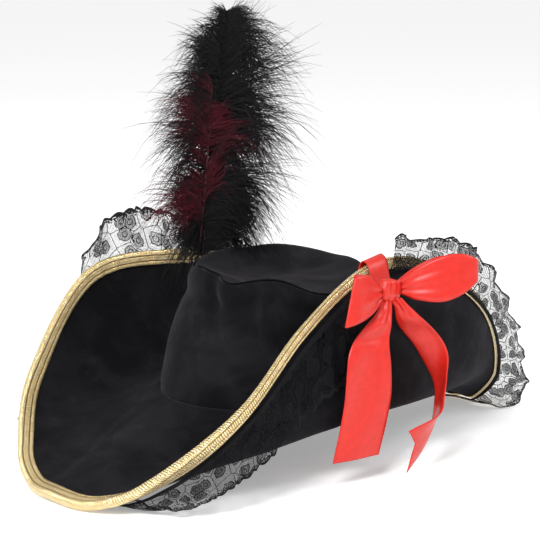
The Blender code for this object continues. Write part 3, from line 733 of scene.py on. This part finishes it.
def crownCrease(turn, rise):
    # outward lift of the crown's velvet: soft folds, and the crease up its front
    degrees = np.degrees(turn) % 360
    low, high = waves(8, 21, 2, 7), waves(9, 22, 6, 19)
    lift = 0.0021 * low(turn + 2.4 * rise) * np.sin(pi * np.clip(rise, 0, 1)) ** 0.7
    lift = lift + 0.0005 * high(turn - 3.0 * rise) * np.clip(rise * 4, 0, 1)
    creaseAt = 5 + 26 * (1 - rise)
    above = np.clip((rise - 0.24) / 0.18, 0, 1)
    depth, width = crownShape["crease"]
    lift = lift - depth * bump(turnFrom(degrees, creaseAt), 0, width) * above
    height, width = crownShape["ridge"]
    lift = lift + height * bump(turnFrom(degrees, creaseAt + crownShape["ridgeStep"]), 0, width) * above
    sag = bump(rise, 0.66 + 0.10 * np.sin(turn * 2), 0.07) - bump(rise, 0.50, 0.08)
    lift = lift + 0.0016 * sag * above * np.clip(np.sin(turn + 0.3), 0, 1)
    lift = np.maximum(lift, -0.0009 - 0.009 * np.clip(rise - 0.28, 0, 1))
    roll = 0.0018 * bump(rise, 0.93, 0.055) - 0.0022 * bump(rise, 0.80, 0.06)
    front = 0.35 + 0.65 * np.clip(np.cos(turn - radians(25)), 0, 1)
    return lift + roll * front


def crownGrid(inset, lower=0.0, tipDrop=0.0):
    rise, share, inner, sag = crownProfile(crownShape["rows"], crownShape["tipRows"])
    angles = np.linspace(0, 360, crownShape["fine"], endpoint=False)
    turn = np.radians(angles)[:, None]
    edge = crownEdge(angles)[:, None]
    fold = waves(7, 24, 3, 11)
    edge = edge + 0.0016 * fold(turn)
    for place, wide, height in crownShape["edgeFolds"]:
        edge = edge + height * bump(turnFrom(angles[:, None], place), 0, wide)
    lift = crownCrease(turn, rise[None, :])
    lift = lift * np.clip(rise / 0.08, 0, 1)
    wide = hat["halfWidth"] * share - inset + lift
    long = hat["halfLength"] * share - inset + lift
    base = hat["seam"] + lower
    z = base + rise * (edge - inset - base)
    wall = np.stack([wide * np.sin(turn), -long * np.cos(turn), z + 0 * wide], -1)
    calm = np.clip((0.71 - inner) / 0.5, 0, 1)
    lift = crownCrease(turn, np.ones((1, 1))) * np.clip((inner - 0.3) / 0.4, 0, 1)
    dimple = waves(6, 25, 2, 5)
    z = edge * (1 - calm) + crownShape["tipLevel"] * calm - sag + tipDrop
    z = z + 0.0015 * dimple(turn + 3 * inner) * np.sin(pi * np.clip(inner / 0.71, 0, 1))
    wide = hat["halfWidth"] * inner - inset * inner / 0.71 + lift
    long = hat["halfLength"] * inner - inset * inner / 0.71 + lift
    tip = np.stack([wide * np.sin(turn), -long * np.cos(turn), z + 0 * wide], -1)
    return wall, tip


def closeMiddle(made):
    # fills the small ring in the middle of the crown's tip
    body = bmesh.new()
    body.from_mesh(made.data)
    ring = [edge for edge in body.edges if edge.is_boundary]
    middle = sum((vertex.co for vertex in body.verts), Vector()) / len(body.verts)
    inner = [edge for edge in ring if (edge.verts[0].co - middle).to_2d().length < 0.02]
    bmesh.ops.holes_fill(body, edges=inner, sides=0)
    body.to_mesh(made.data)
    body.free()


def makeCrown():
    wall, tip = crownGrid(0.0005, -crownShape["seamBelow"])
    side = gridPiece("crownSideVelvet", wall, velvetCrown, lambda place: place - Vector(hatPlace),
                     crownShape["cloth"], closed=True)
    standIn(side, "hat", "crown_wall", "velvet")
    meshArea(side) / 2
    lining = crownGrid(0.0020, 0.001, -0.0012)
    top = gridTip("crownTopVelvet", tip + np.array([0, 0, 0.0004]), velvetCrown, crownShape["cloth"])
    standIn(top, "hat", "crown_top", "velvet")
    meshArea(top) / 2
    both = np.concatenate([lining[0], lining[1][:, 1:]], 1)
    inside = gridTip("crownLining", both, liningCloth, 0.0006)
    standIn(inside, "hat", "crown_lining", "lining_cloth")
    meshArea(inside) / 2


def gridTip(name, points, material, thickness):
    # a closed round sheet with its middle filled, before it gets its thickness
    count = len(points)
    uv = clothUV(points)
    made = finishPiece(name, points + hatPlace, gridFaces(count, points.shape[1], roundRows=True), material, uv)
    closeMiddle(made)
    pointFaces(made, lambda place: place - Vector(hatPlace + np.array([0, 0, 0.06])))
    return thicken(made, thickness)


print("crown")
makeCrown()


braid = {
    "fine": 640, "level": 0.0032, "pucker": 0.00026, "reach": 0.0022, "cloth": 0.0007,
    "slim": 0.42, "slimAt": 72, "slimOver": 42,
}


def makeBraid():
    angles = np.linspace(0, 360, braid["fine"], endpoint=False)
    turn = np.radians(angles)
    uneven, quick = waves(9, 31, 5, 23), waves(10, 32, 60, 150)
    distances = np.array([1.0, 0.86, 0.72, 0.58, 0.44, 0.30, 0.16, 0.05]) * hat["braidWidth"]
    # the tape is turned over further on the near flap, so less of it shows there
    slim = 1 - braid["slim"] * bump(angles, braid["slimAt"], braid["slimOver"])
    shares = 1 - (1 - sharesFromEdge(angles, distances)) * slim[:, None]
    surface, outward = brimGrid(angles, shares)
    normal = brimNormals(angles, shares)
    edge, edgeOut = brimGrid(angles, np.ones((len(angles), 1)))
    edgeUp = brimNormals(angles, np.ones((len(angles), 1)))
    pucker = braid["pucker"] * quick(turn)[:, None] + 0.0002 * uneven(turn)[:, None]
    sections = []
    for sign in (-1, 1):
        fall = np.linspace(-1.0, 0.4, len(distances))[None, :]
        leg = surface + normal * (sign * (braid["level"] + pucker * (1 + fall)))[..., None]
        wander = outward * (0.0005 * uneven(turn + sign))[:, None, None]
        sections.append(leg + wander * np.linspace(1, 0, len(distances))[None, :, None])
    cap = []
    for lean in (-60, -30, 0, 30, 60):
        bend = radians(lean)
        cap.append(edge + edgeOut * (braid["reach"] * cos(bend)) + edgeUp * (braid["level"] * sin(bend)))
    cap = np.concatenate(cap, 1)
    points = np.concatenate([sections[0], cap, sections[1][:, ::-1]], 1)
    return gridPiece("goldBraidEdge", points, goldBraid, lambda place: Vector((0, 0, 1)), braid["cloth"],
                     closed=True)


def faceBraid(made):
    # a thickened U turned outward: on its rim the outside must look away from the brim
    body = bmesh.new()
    body.from_mesh(made.data)
    bmesh.ops.recalc_face_normals(body, faces=body.faces)
    body.to_mesh(made.data)
    body.free()


print("gold braid")
edging = makeBraid()
faceBraid(edging)
standIn(edging, "hat", "gold_binding", "gold_braid")


# where the lace ends: angle, step from the brim's edge, how far its middle stands off
laceStations = [
    (0, (0.004, 0.030, 0.0025), 0.0025), (14, (0.012, 0.026, 0.0010), 0.003),
    (26, (0.020, 0.014, -0.0175), 0.005), (45, (0.022, -0.006, -0.0375), 0.005),
    (68, (0.0225, -0.004, -0.052), 0.0035), (84, (0.0230, -0.004, -0.054), 0.0030),
    (96, (0.0090, 0.002, 0.016), 0.0045), (108, (0.0080, 0.004, 0.017), 0.0045),
    (125, (0.010, 0.014, 0.024), 0.006), (140, (0.012, 0.016, 0.010), 0.006),
    (156, (0.013, 0.022, -0.014), 0.006), (165, (0.022, 0.010, -0.019), 0.004),
    (172.5, (0.026, -0.012, -0.0020), 0.0035), (180, (0.004, -0.018, 0.0012), 0.0030),
    (187.5, (-0.008, -0.022, 0.0015), 0.0030), (197, (-0.020, 0.014, -0.012), 0.006),
    (206, (-0.022, 0.024, -0.004), 0.006), (218, (-0.026, 0.020, 0.012), 0.006),
    (245, (-0.020, 0.000, 0.020), 0.006), (270, (-0.018, 0.000, 0.036), 0.006),
    (279, (-0.015, -0.001, 0.036), 0.006), (286, (-0.010, -0.001, 0.025), 0.006),
    (292, (-0.007, -0.001, 0.004), 0.006), (300, (-0.009, -0.001, -0.022), 0.006),
    (313, (-0.013, 0.000, -0.036), 0.006), (332, (-0.016, 0.018, -0.012), 0.005),
    (348, (-0.004, 0.028, 0.0010), 0.0025),
]
ruffle = {
    "start": 0.0052, "root": 0.009, "first": 97.5, "last": 442.0, "along": 1100, "across": 16,
    "gather": 1.10, "cut": 1.16, "fold": 0.0060, "pitch": 0.026, "quiver": 0.0013, "cloth": 0.0004,
}


def makeLace():
    columns, rows = ruffle["along"], ruffle["across"]
    angles = np.linspace(ruffle["first"], ruffle["last"], columns)
    shares = sharesFromEdge(angles % 360, [ruffle["root"]])
    root = brimGrid(angles, shares)[0][:, 0] - brimNormals(angles, shares)[:, 0] * ruffle["start"]
    edge = brimGrid(angles, np.ones((columns, 1)))[0][:, 0]
    edgeUp = brimNormals(angles, np.ones((columns, 1)))[:, 0]
    stand = roundSpline(laceStations, angles, lambda entry: (entry[2],))
    tip = edge + roundSpline(laceStations, angles, lambda entry: entry[1])
    middle = (root + tip) / 2 - edgeUp * stand
    steps = np.linspace(0, 1, rows)[None, :, None]
    points = root[:, None] * (1 - steps) ** 2 + middle[:, None] * (2 * steps * (1 - steps))
    points = points + tip[:, None] * steps**2
    run = np.concatenate([[0], np.cumsum(np.linalg.norm(np.diff(edge, axis=0), axis=1))])
    lap = run * 2 * pi / run[-1]
    slow = waves(9, 41, 2, 17)
    beat = 2 * pi * run / ruffle["pitch"] + 2.6 * slow(lap)
    along = np.gradient(points, axis=0)
    normal = np.cross(along, np.gradient(points, axis=1))
    normal /= np.linalg.norm(normal, axis=2, keepdims=True) + 1e-12
    size = ruffle["fold"] * (0.65 + 0.35 * waves(9, 42, 5, 31)(lap))
    # the ruffle lies flat where it is folded under the back tip, and calmer on the near flap
    flat = (1 - 0.85 * bump(angles % 360, 180, 13)) * (1 - 0.55 * bump(angles % 360, 62, 30))
    grow = np.linspace(0, 1, rows) ** 0.8
    small = ruffle["quiver"] * np.sin(2.7 * beat + 1.1) * (0.6 + 0.4 * slow(2 * lap))
    wave = ((np.sin(beat) * size + small) * flat)[:, None] * grow[None, :]
    points = points + normal * wave[..., None] * 0.8
    sideways = (np.cos(beat) * 0.0016 * flat)[:, None] * grow[None, :]
    points = points + along / (np.linalg.norm(along, axis=2, keepdims=True) + 1e-12) * sideways[..., None]
    points[..., 2] = np.maximum(points[..., 2], 0.0006 - hatPlace[2])
    u = np.repeat((run * ruffle["gather"])[:, None], rows, 1)
    v = np.repeat(np.linspace(0, laceCloth["width"], rows)[None, :], columns, 0)
    return gridPiece("laceRuffle", points, blackLace, lambda place: Vector((0, 0, 1)), ruffle["cloth"],
                     uv=np.stack([u, v], -1))


print("lace")
ruffleLace = makeLace()
standIn(ruffleLace, "hat", "lace_ruffle", "lace")


bow = {"knot": (0.0985, 0.018, 0.133), "knotSize": (0.011, 0.0185, 0.017), "thick": 0.0006}
knotPlace = np.array(bow["knot"])


def splinePath(points, count):
    # a smooth curve through the points, evenly numbered between them
    points = np.asarray(points, float)
    padded = np.concatenate([points[:1] * 2 - points[1:2], points, points[-1:] * 2 - points[-2:-1]])
    t = np.linspace(0, len(points) - 1, count)
    low = np.minimum(t.astype(int), len(points) - 2)
    f = (t - low)[:, None]
    a, b, c, d = (padded[low + k] for k in range(4))
    return 0.5 * (2 * b + (c - a) * f + (2 * a - 5 * b + 4 * c - d) * f**2 + (3 * b - a - 3 * c + d) * f**3)


def ribbonPiece(name, path, widths, flats, count, columns=13, folds=None, notch=0.0):
    # a ribbon along a path; flats says which way it lies across at each point
    line = splinePath(path, count)
    across = splinePath(flats, count)
    across /= np.linalg.norm(across, axis=1, keepdims=True)
    breadth = splinePath(np.array(widths)[:, None], count)[:, 0]
    share = np.linspace(-0.5, 0.5, columns)
    points = line[:, None] + across[:, None] * (breadth[:, None] * share)[..., None]
    along = np.gradient(line, axis=0)
    along /= np.linalg.norm(along, axis=1, keepdims=True)
    normal = np.cross(along, across)
    normal /= np.linalg.norm(normal, axis=1, keepdims=True)
    t = np.linspace(0, 1, count)[:, None]
    points = points + normal[:, None] * folds(t, share[None, :])[..., None]
    if notch:
        pull = (1 - np.abs(2 * share)) * notch
        fade = np.clip((t - 0.93) / 0.07, 0, 1)
        points = points - along[:, None] * (fade * pull[None, :])[..., None]
    run = np.concatenate([[0], np.cumsum(np.linalg.norm(np.diff(line, axis=0), axis=1))])
    u = np.repeat(run[:, None], columns, 1)
    v = breadth.max() * np.repeat(share[None, :], count, 0)
    return gridPiece(name, points, redSatin, lambda place: Vector((1, 0, 0)), bow["thick"],
                     uv=np.stack([u, v], -1))


def pleats(count, depth, ends):
    # lengthwise pleats that start at the gathered ends and die away
    def height(t, share):
        near = np.zeros_like(t)
        for place, reach in ends:
            near = near + np.exp(-((np.abs(t - place) / reach) ** 1.4))
        return depth * near * np.sin(2 * pi * count * share + 0.7)
    return height


def tailFolds(t, share):
    low = 0.0022 * bump(t, 0.24, 0.045) - 0.0018 * bump(t, 0.34, 0.05) + 0.0006 * bump(t, 0.47, 0.07)
    gather = 0.0012 * np.exp(-((t / 0.16) ** 1.5)) * np.sin(2 * pi * 2.5 * share + 0.4)
    return low * (0.6 + 0.4 * np.cos(5 * share)) + gather + 0.0007 * np.sin(2 * pi * (1.3 * t + share))


def makeKnot():
    # one turn of ribbon round the middle of the bow, pulled into small pleats
    turns, columns = 56, 15
    points = np.empty((turns, columns, 3))
    half = np.array(bow["knotSize"]) / 2
    for k in range(turns):
        turn = 2 * pi * k / turns
        for j in range(columns):
            share = 2 * j / (columns - 1) - 1
            belly = 1 - 0.16 * share**2
            pleat = 1 + 0.05 * cos(share * 3 * pi) + 0.025 * sin(share * 7 + 2 * turn)
            power = 0.62
            x = half[0] * belly * pleat * abs(cos(turn)) ** power * (1 if cos(turn) > 0 else -1)
            z = half[2] * belly * pleat * abs(sin(turn)) ** power * (1 if sin(turn) > 0 else -1)
            points[k, j] = (x, half[1] * share * 0.97, z)
    spin = Matrix.Rotation(radians(6), 3, "Z") @ Matrix.Rotation(radians(-12), 3, "X")
    points = points @ np.array(spin).T + knotPlace
    uv = clothUV(points)
    made = finishPiece("ribbonKnot", points + hatPlace, gridFaces(turns, columns, roundRows=True), redSatin, uv)
    body = bmesh.new()
    body.from_mesh(made.data)
    bmesh.ops.holes_fill(body, edges=[edge for edge in body.edges if edge.is_boundary], sides=0)
    bmesh.ops.recalc_face_normals(body, faces=body.faces)
    body.to_mesh(made.data)
    body.free()
    made.data.shade_smooth()
    return made


# each ribbon: its way out from the knot, its widths there, and which way it lies across
leftLoop = {
    "steps": [(0.0030, 0, 0), (0.0065, -0.013, 0.001), (0.0095, -0.027, 0), (0.0085, -0.0365, -0.001),
              (0.0040, -0.031, 0), (0.0010, -0.014, 0.001), (-0.0012, 0, 0)],
    "widths": [0.010, 0.027, 0.036, 0.038, 0.036, 0.026, 0.010],
    "flats": [(-0.10, 0, 1), (-0.20, 0.12, 0.95), (-0.20, 0.34, 0.90), (-0.10, 0.36, 0.90),
              (-0.20, 0.34, 0.90), (-0.20, 0.12, 0.95), (-0.10, 0, 1)],
}
rightLoop = {
    "steps": [(0.0023, 0, 0), (0.0136, 0.0069, 0.004), (0.0263, 0.0197, 0.008), (0.0340, 0.0342, 0.011),
              (0.0349, 0.0478, 0.012), (0.0226, 0.0424, 0.009), (0.0109, 0.0301, 0.006),
              (0.0022, 0.0151, 0.003), (-0.0023, 0.0019, 0)],
    "widths": [0.010, 0.024, 0.034, 0.029, 0.015, 0.025, 0.030, 0.022, 0.010],
    "flats": [(-0.10, 0, 1)] + [(-0.15, 0.15, 0.95)] * 7 + [(-0.10, 0, 1)],
}
longTail = {
    "path": [(0.1010, 0.0125, 0.1265), (0.1035, 0.009, 0.1185), (0.1075, -0.004, 0.107), (0.1090, -0.012, 0.095),
             (0.1115, -0.015, 0.080), (0.1135, -0.0175, 0.060), (0.1145, -0.0225, 0.040), (0.115, -0.030, 0.017)],
    "widths": [0.009, 0.014, 0.028, 0.036, 0.040, 0.042, 0.042, 0.042],
    "flats": [(0.1, 1, -0.1), (0.1, 1, -0.1), (0.12, 1, -0.06)] + [(0.14, 1, 0)] * 4 + [(0.12, 1, 0)],
}
forkedTail = {
    "path": [(0.108, 0.034, 0.107), (0.113, 0.050, 0.0865), (0.117, 0.056, 0.064), (0.121, 0.051, 0.047),
             (0.126, 0.038, 0.030), (0.131, 0.006, 0.019)],
    "widths": [0.009, 0.012, 0.021, 0.023, 0.024, 0.024, 0.027, 0.030],
    "flats": [(0.3, 0.95, 0), (0.64, 0.77, 0), (0.70, 0.68, 0.1), (0.85, 0.35, 0.2), (0.85, -0.30, 0.35),
              (0.75, -0.35, 0.5), (0.45, 0, 0.85), (-0.1, 0.15, 0.95)],
    "notch": 0.012,
}
tab = {"angle": 93.0, "clear": 0.0056, "crownSpot": (0.0650, 0.020, 0.118), "width": 0.020}


def makeTab():
    # over the turned-up edge and back to the crown, which it holds in
    angle = np.array([tab["angle"]])
    edge, edgeOut = (part[0, 0] for part in brimGrid(angle, np.ones((1, 1))))
    edgeUp = brimNormals(angle, np.ones((1, 1)))[0, 0]
    clear = tab["clear"]

    def onBrim(distance, side):
        share = sharesFromEdge(angle, [distance])
        return brimGrid(angle, share)[0][0, 0] + brimNormals(angle, share)[0, 0] * side

    path = [onBrim(distance, -clear) for distance in (0.030, 0.020, 0.010)]
    path += [edge + edgeOut * 0.001 - edgeUp * clear, edge + edgeOut * 0.0062]
    path += [edge + edgeOut * 0.001 + edgeUp * clear, onBrim(0.012, clear)]
    crownSpot = np.array(tab["crownSpot"])
    path.append(path[-1] * 0.4 + crownSpot * 0.6 + np.array((0.003, 0, 0.002)))
    path.append(crownSpot)
    ahead = brimGrid(angle + 3, np.ones((1, 1)))[0][0, 0] - brimGrid(angle - 3, np.ones((1, 1)))[0][0, 0]
    flats = [ahead / np.linalg.norm(ahead)] * 7 + [(0.05, 1, 0), (-0.22, 1, 0.05)]
    widths = [tab["width"]] * 7 + [0.018, 0.016]
    return ribbonPiece("ribbonTab", path, widths, flats, 40, folds=pleats(2, 0.0003, [(0, 0.2)]))


def makeBow():
    standIn(makeKnot(), "hat", "bow_knot", "red_satin")

    made = makeTab()
    standIn(made, "hat", "ribbon_tab", "red_satin")

    ends = [(0, 0.20), (1, 0.20)]
    path = [knotPlace + np.array((0.0005, -0.0108, 0)) + np.array(step) for step in leftLoop["steps"]]
    made = ribbonPiece("leftLoop", path, leftLoop["widths"], leftLoop["flats"], 72,
                       folds=pleats(2.5, 0.0010, ends))
    standIn(made, "left_loop", "bow_left_loop", "red_satin")

    path = [knotPlace + np.array((0, 0.0108, 0.0005)) + np.array(step) for step in rightLoop["steps"]]
    made = ribbonPiece("rightLoop", path, rightLoop["widths"], rightLoop["flats"], 96,
                       folds=pleats(2.5, 0.0011, ends))
    standIn(made, "right_loop", "bow_right_loop", "red_satin")

    made = ribbonPiece("longTail", longTail["path"], longTail["widths"], longTail["flats"], 90, 17, tailFolds)
    standIn(made, "long_tail", "bow_long_tail", "red_satin")

    start = [knotPlace + np.array(step) for step in ((0.004, 0.003, -0.006), (0.0075, 0.007, -0.0125))]
    made = ribbonPiece("forkedTail", start + forkedTail["path"], forkedTail["widths"], forkedTail["flats"],
                       96, 17, tailFolds, notch=forkedTail["notch"])
    standIn(made, "forked_tail", "bow_forked_tail", "red_satin")


print("ribbon")
makeBow()


plume = {"foot": (-0.0746, -0.020, 0.104), "length": 0.227, "lean": 0.022,
         "redStep": (0.0015, -0.0045, 0.014), "redLength": 0.157, "redLean": 0.010}
plumeFoot = np.array(plume["foot"])
spread = np.array((0.45, 0.89, 0.0))
facing = np.array((0.89, -0.45, 0.0))

# flues grow in clumps: where along the quill they start, which way they go, and how long they are
flueKinds = {
    "blackFlues": {
        "foot": plumeFoot, "quill": (plume["length"], plume["lean"]), "seed": 51, "clumps": 170, "each": 34,
        "radius": 0.00040, "segments": 5, "material": blackFlue, "node": "plume_black_vane", "slot": "black_flue",
        "rise": (0.20, 0.79, 1.05), "sides": (-1, 1, 1), "evenAbove": 0.66, "left": 0.88, "right": 1.26,
        "reachAt": ([0.2, 0.32, 0.45, 0.60, 0.75, 0.90, 1.0], [0.046, 0.062, 0.080, 0.087, 0.080, 0.054, 0.022]),
        "steepAt": ([0.2, 0.6, 0.88, 1.0], [0.30, 0.50, 0.76, 0.72]),
        "side": (0.45, 0.98), "up": (0.3, 1.2), "depth": (-0.22, 0.34), "length": (0.66, 1.0), "droop": (0.15, 0.85),
    },
    "redFlues": {
        "foot": plumeFoot + np.array(plume["redStep"]), "quill": (plume["redLength"], plume["redLean"]),
        "seed": 52, "clumps": 30, "each": 34,
        "radius": 0.00032, "segments": 7, "material": redFlue, "node": "plume_red_vane", "slot": "red_flue",
        "rise": (0.30, 0.70, 1.0), "sides": (-1, -1, -1, 1), "evenAbove": 0.75, "left": 1.0, "right": 1.0,
        "reachAt": ([0.2, 0.5, 0.75, 1.0], [0.060, 0.082, 0.070, 0.034]), "steepAt": ([0, 1], [1, 1]),
        "side": (0.4, 1.0), "up": (0.3, 1.0), "depth": (0.0, 0.20), "length": (0.55, 1.0), "droop": (0.2, 0.9),
    },
    "tuftFlues": {
        "foot": plumeFoot, "quill": (plume["length"], plume["lean"]), "seed": 53, "clumps": 56, "each": 36,
        "radius": 0.00028, "segments": 6, "material": blackFlue, "node": "plume_base_tuft", "slot": "black_flue",
        "rise": (0.17, 0.24, 1.0), "sides": (-1, 1), "evenAbove": 1.0, "left": 1.0, "right": 1.0,
        "reachAt": ([0, 1], [1, 1]), "steepAt": ([0, 1], [1, 1]),
        "side": (0.4, 1.0), "up": (0.1, 0.9), "depth": (0.0, 0.34), "length": (0.030, 0.056), "droop": (0.2, 0.9),
    },
}


def quillPoint(t, kind):
    length, lean = kind["quill"]
    t = np.asarray(t, float)[..., None]
    return kind["foot"] + np.concatenate([0.010 * t, lean * t**2 + 0.004 * np.sin(pi * t), length * t], -1)


def clumpedStrands(kind):
    # each clump has its own numbers, and each flue in it strays a little
    dice = random.Random(kind["seed"])
    rows = []
    for _ in range(kind["clumps"]):
        low, span, crowd = kind["rise"]
        rise = low + span * dice.random() ** crowd
        side = dice.choice(kind["sides"] if rise < kind["evenAbove"] else (-1, 1))
        wide = np.interp(rise, *kind["reachAt"]) * kind["left" if side < 0 else "right"]
        side = side * dice.uniform(*kind["side"])
        up = np.interp(rise, *kind["steepAt"]) * dice.uniform(*kind["up"])
        depth = dice.uniform(*kind["depth"])
        length = wide * dice.uniform(*kind["length"])
        droop = dice.uniform(*kind["droop"])
        for _ in range(kind["each"]):
            stray = [dice.gauss(0, 1) for _ in range(6)]
            rows.append([
                rise + 0.018 * stray[0], side * (1 + 0.12 * stray[1]), up + 0.13 * stray[2],
                depth + 0.09 * stray[3], length * max(0.3, 1 - abs(0.28 * stray[4])),
                droop * max(0.1, 1 + 0.3 * stray[5]), dice.uniform(-1, 1), dice.uniform(-1, 1)])
    return np.array(rows)


def makeFlues(name, kind):
    # many thin three-sided flues, each tapered to its tip, as one piece
    rows, segments = clumpedStrands(kind), kind["segments"]
    starts = quillPoint(np.clip(rows[:, 0], 0.12, 1.0), kind)
    sides, ups, depths, lengths, droops, curls = (rows[:, k, None] for k in range(1, 7))
    t = np.linspace(0, 1, segments + 1)[None, :]
    reach = lengths * t
    out = sides * reach * (1 - 0.10 * t)
    rise = ups * reach - droops * lengths * t**2.3
    deep = depths * reach + curls * lengths * np.sin(pi * t * 1.2) * 0.10
    points = starts[:, None] + out[..., None] * spread + deep[..., None] * facing
    points = points + rise[..., None] * np.array((0, 0, 1.0))
    wobble = curls * lengths * 0.05 * np.sin(2 * pi * t + 7 * curls)
    points = points + wobble[..., None] * spread
    along = np.gradient(points, axis=1)
    along /= np.linalg.norm(along, axis=2, keepdims=True) + 1e-12
    sideways = np.cross(along, facing)
    sideways /= np.linalg.norm(sideways, axis=2, keepdims=True) + 1e-12
    other = np.cross(along, sideways)
    thick = kind["radius"] * (1 - 0.84 * t**1.3) * np.ones((len(rows), 1))
    rings = []
    for k in range(3):
        turn = 2 * pi * k / 3
        rings.append(points + (sideways * cos(turn) + other * sin(turn)) * thick[..., None])
    faces = []
    for strand in range(len(rows)):
        base = strand * (segments + 1) * 3
        for step in range(segments):
            low, high = base + step * 3, base + step * 3 + 3
            for k in range(3):
                after = (k + 1) % 3
                faces.append((low + k, low + after, high + after, high + k))
        faces.append((base + 2, base + 1, base))
        top = base + segments * 3
        faces.append((top, top + 1, top + 2))
    made = finishPiece(name, np.stack(rings, 2).reshape(-1, 3) + hatPlace, faces, kind["material"])
    standIn(made, "plume", kind["node"], kind["slot"])


print("plume")
for name, kind in flueKinds.items():
    makeFlues(name, kind)


# the pieces kept as they are
print("kept pieces")
keptFinishes = {
    "brim_stiffener": stiffFelt, "brim_wire": wireSteel, "wire_sleeve": bandCloth, "sweatband": bandCloth,
    "plume_quill": quillHorn, "plume_red_quill": redHorn, "plume_patch": patchFelt,
    "plume_stitch": blackThread, "bow_stitch": redThread,
}
for node, material in keptFinishes.items():
    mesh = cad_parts[node].data
    mesh.materials.clear()
    mesh.materials.append(material)
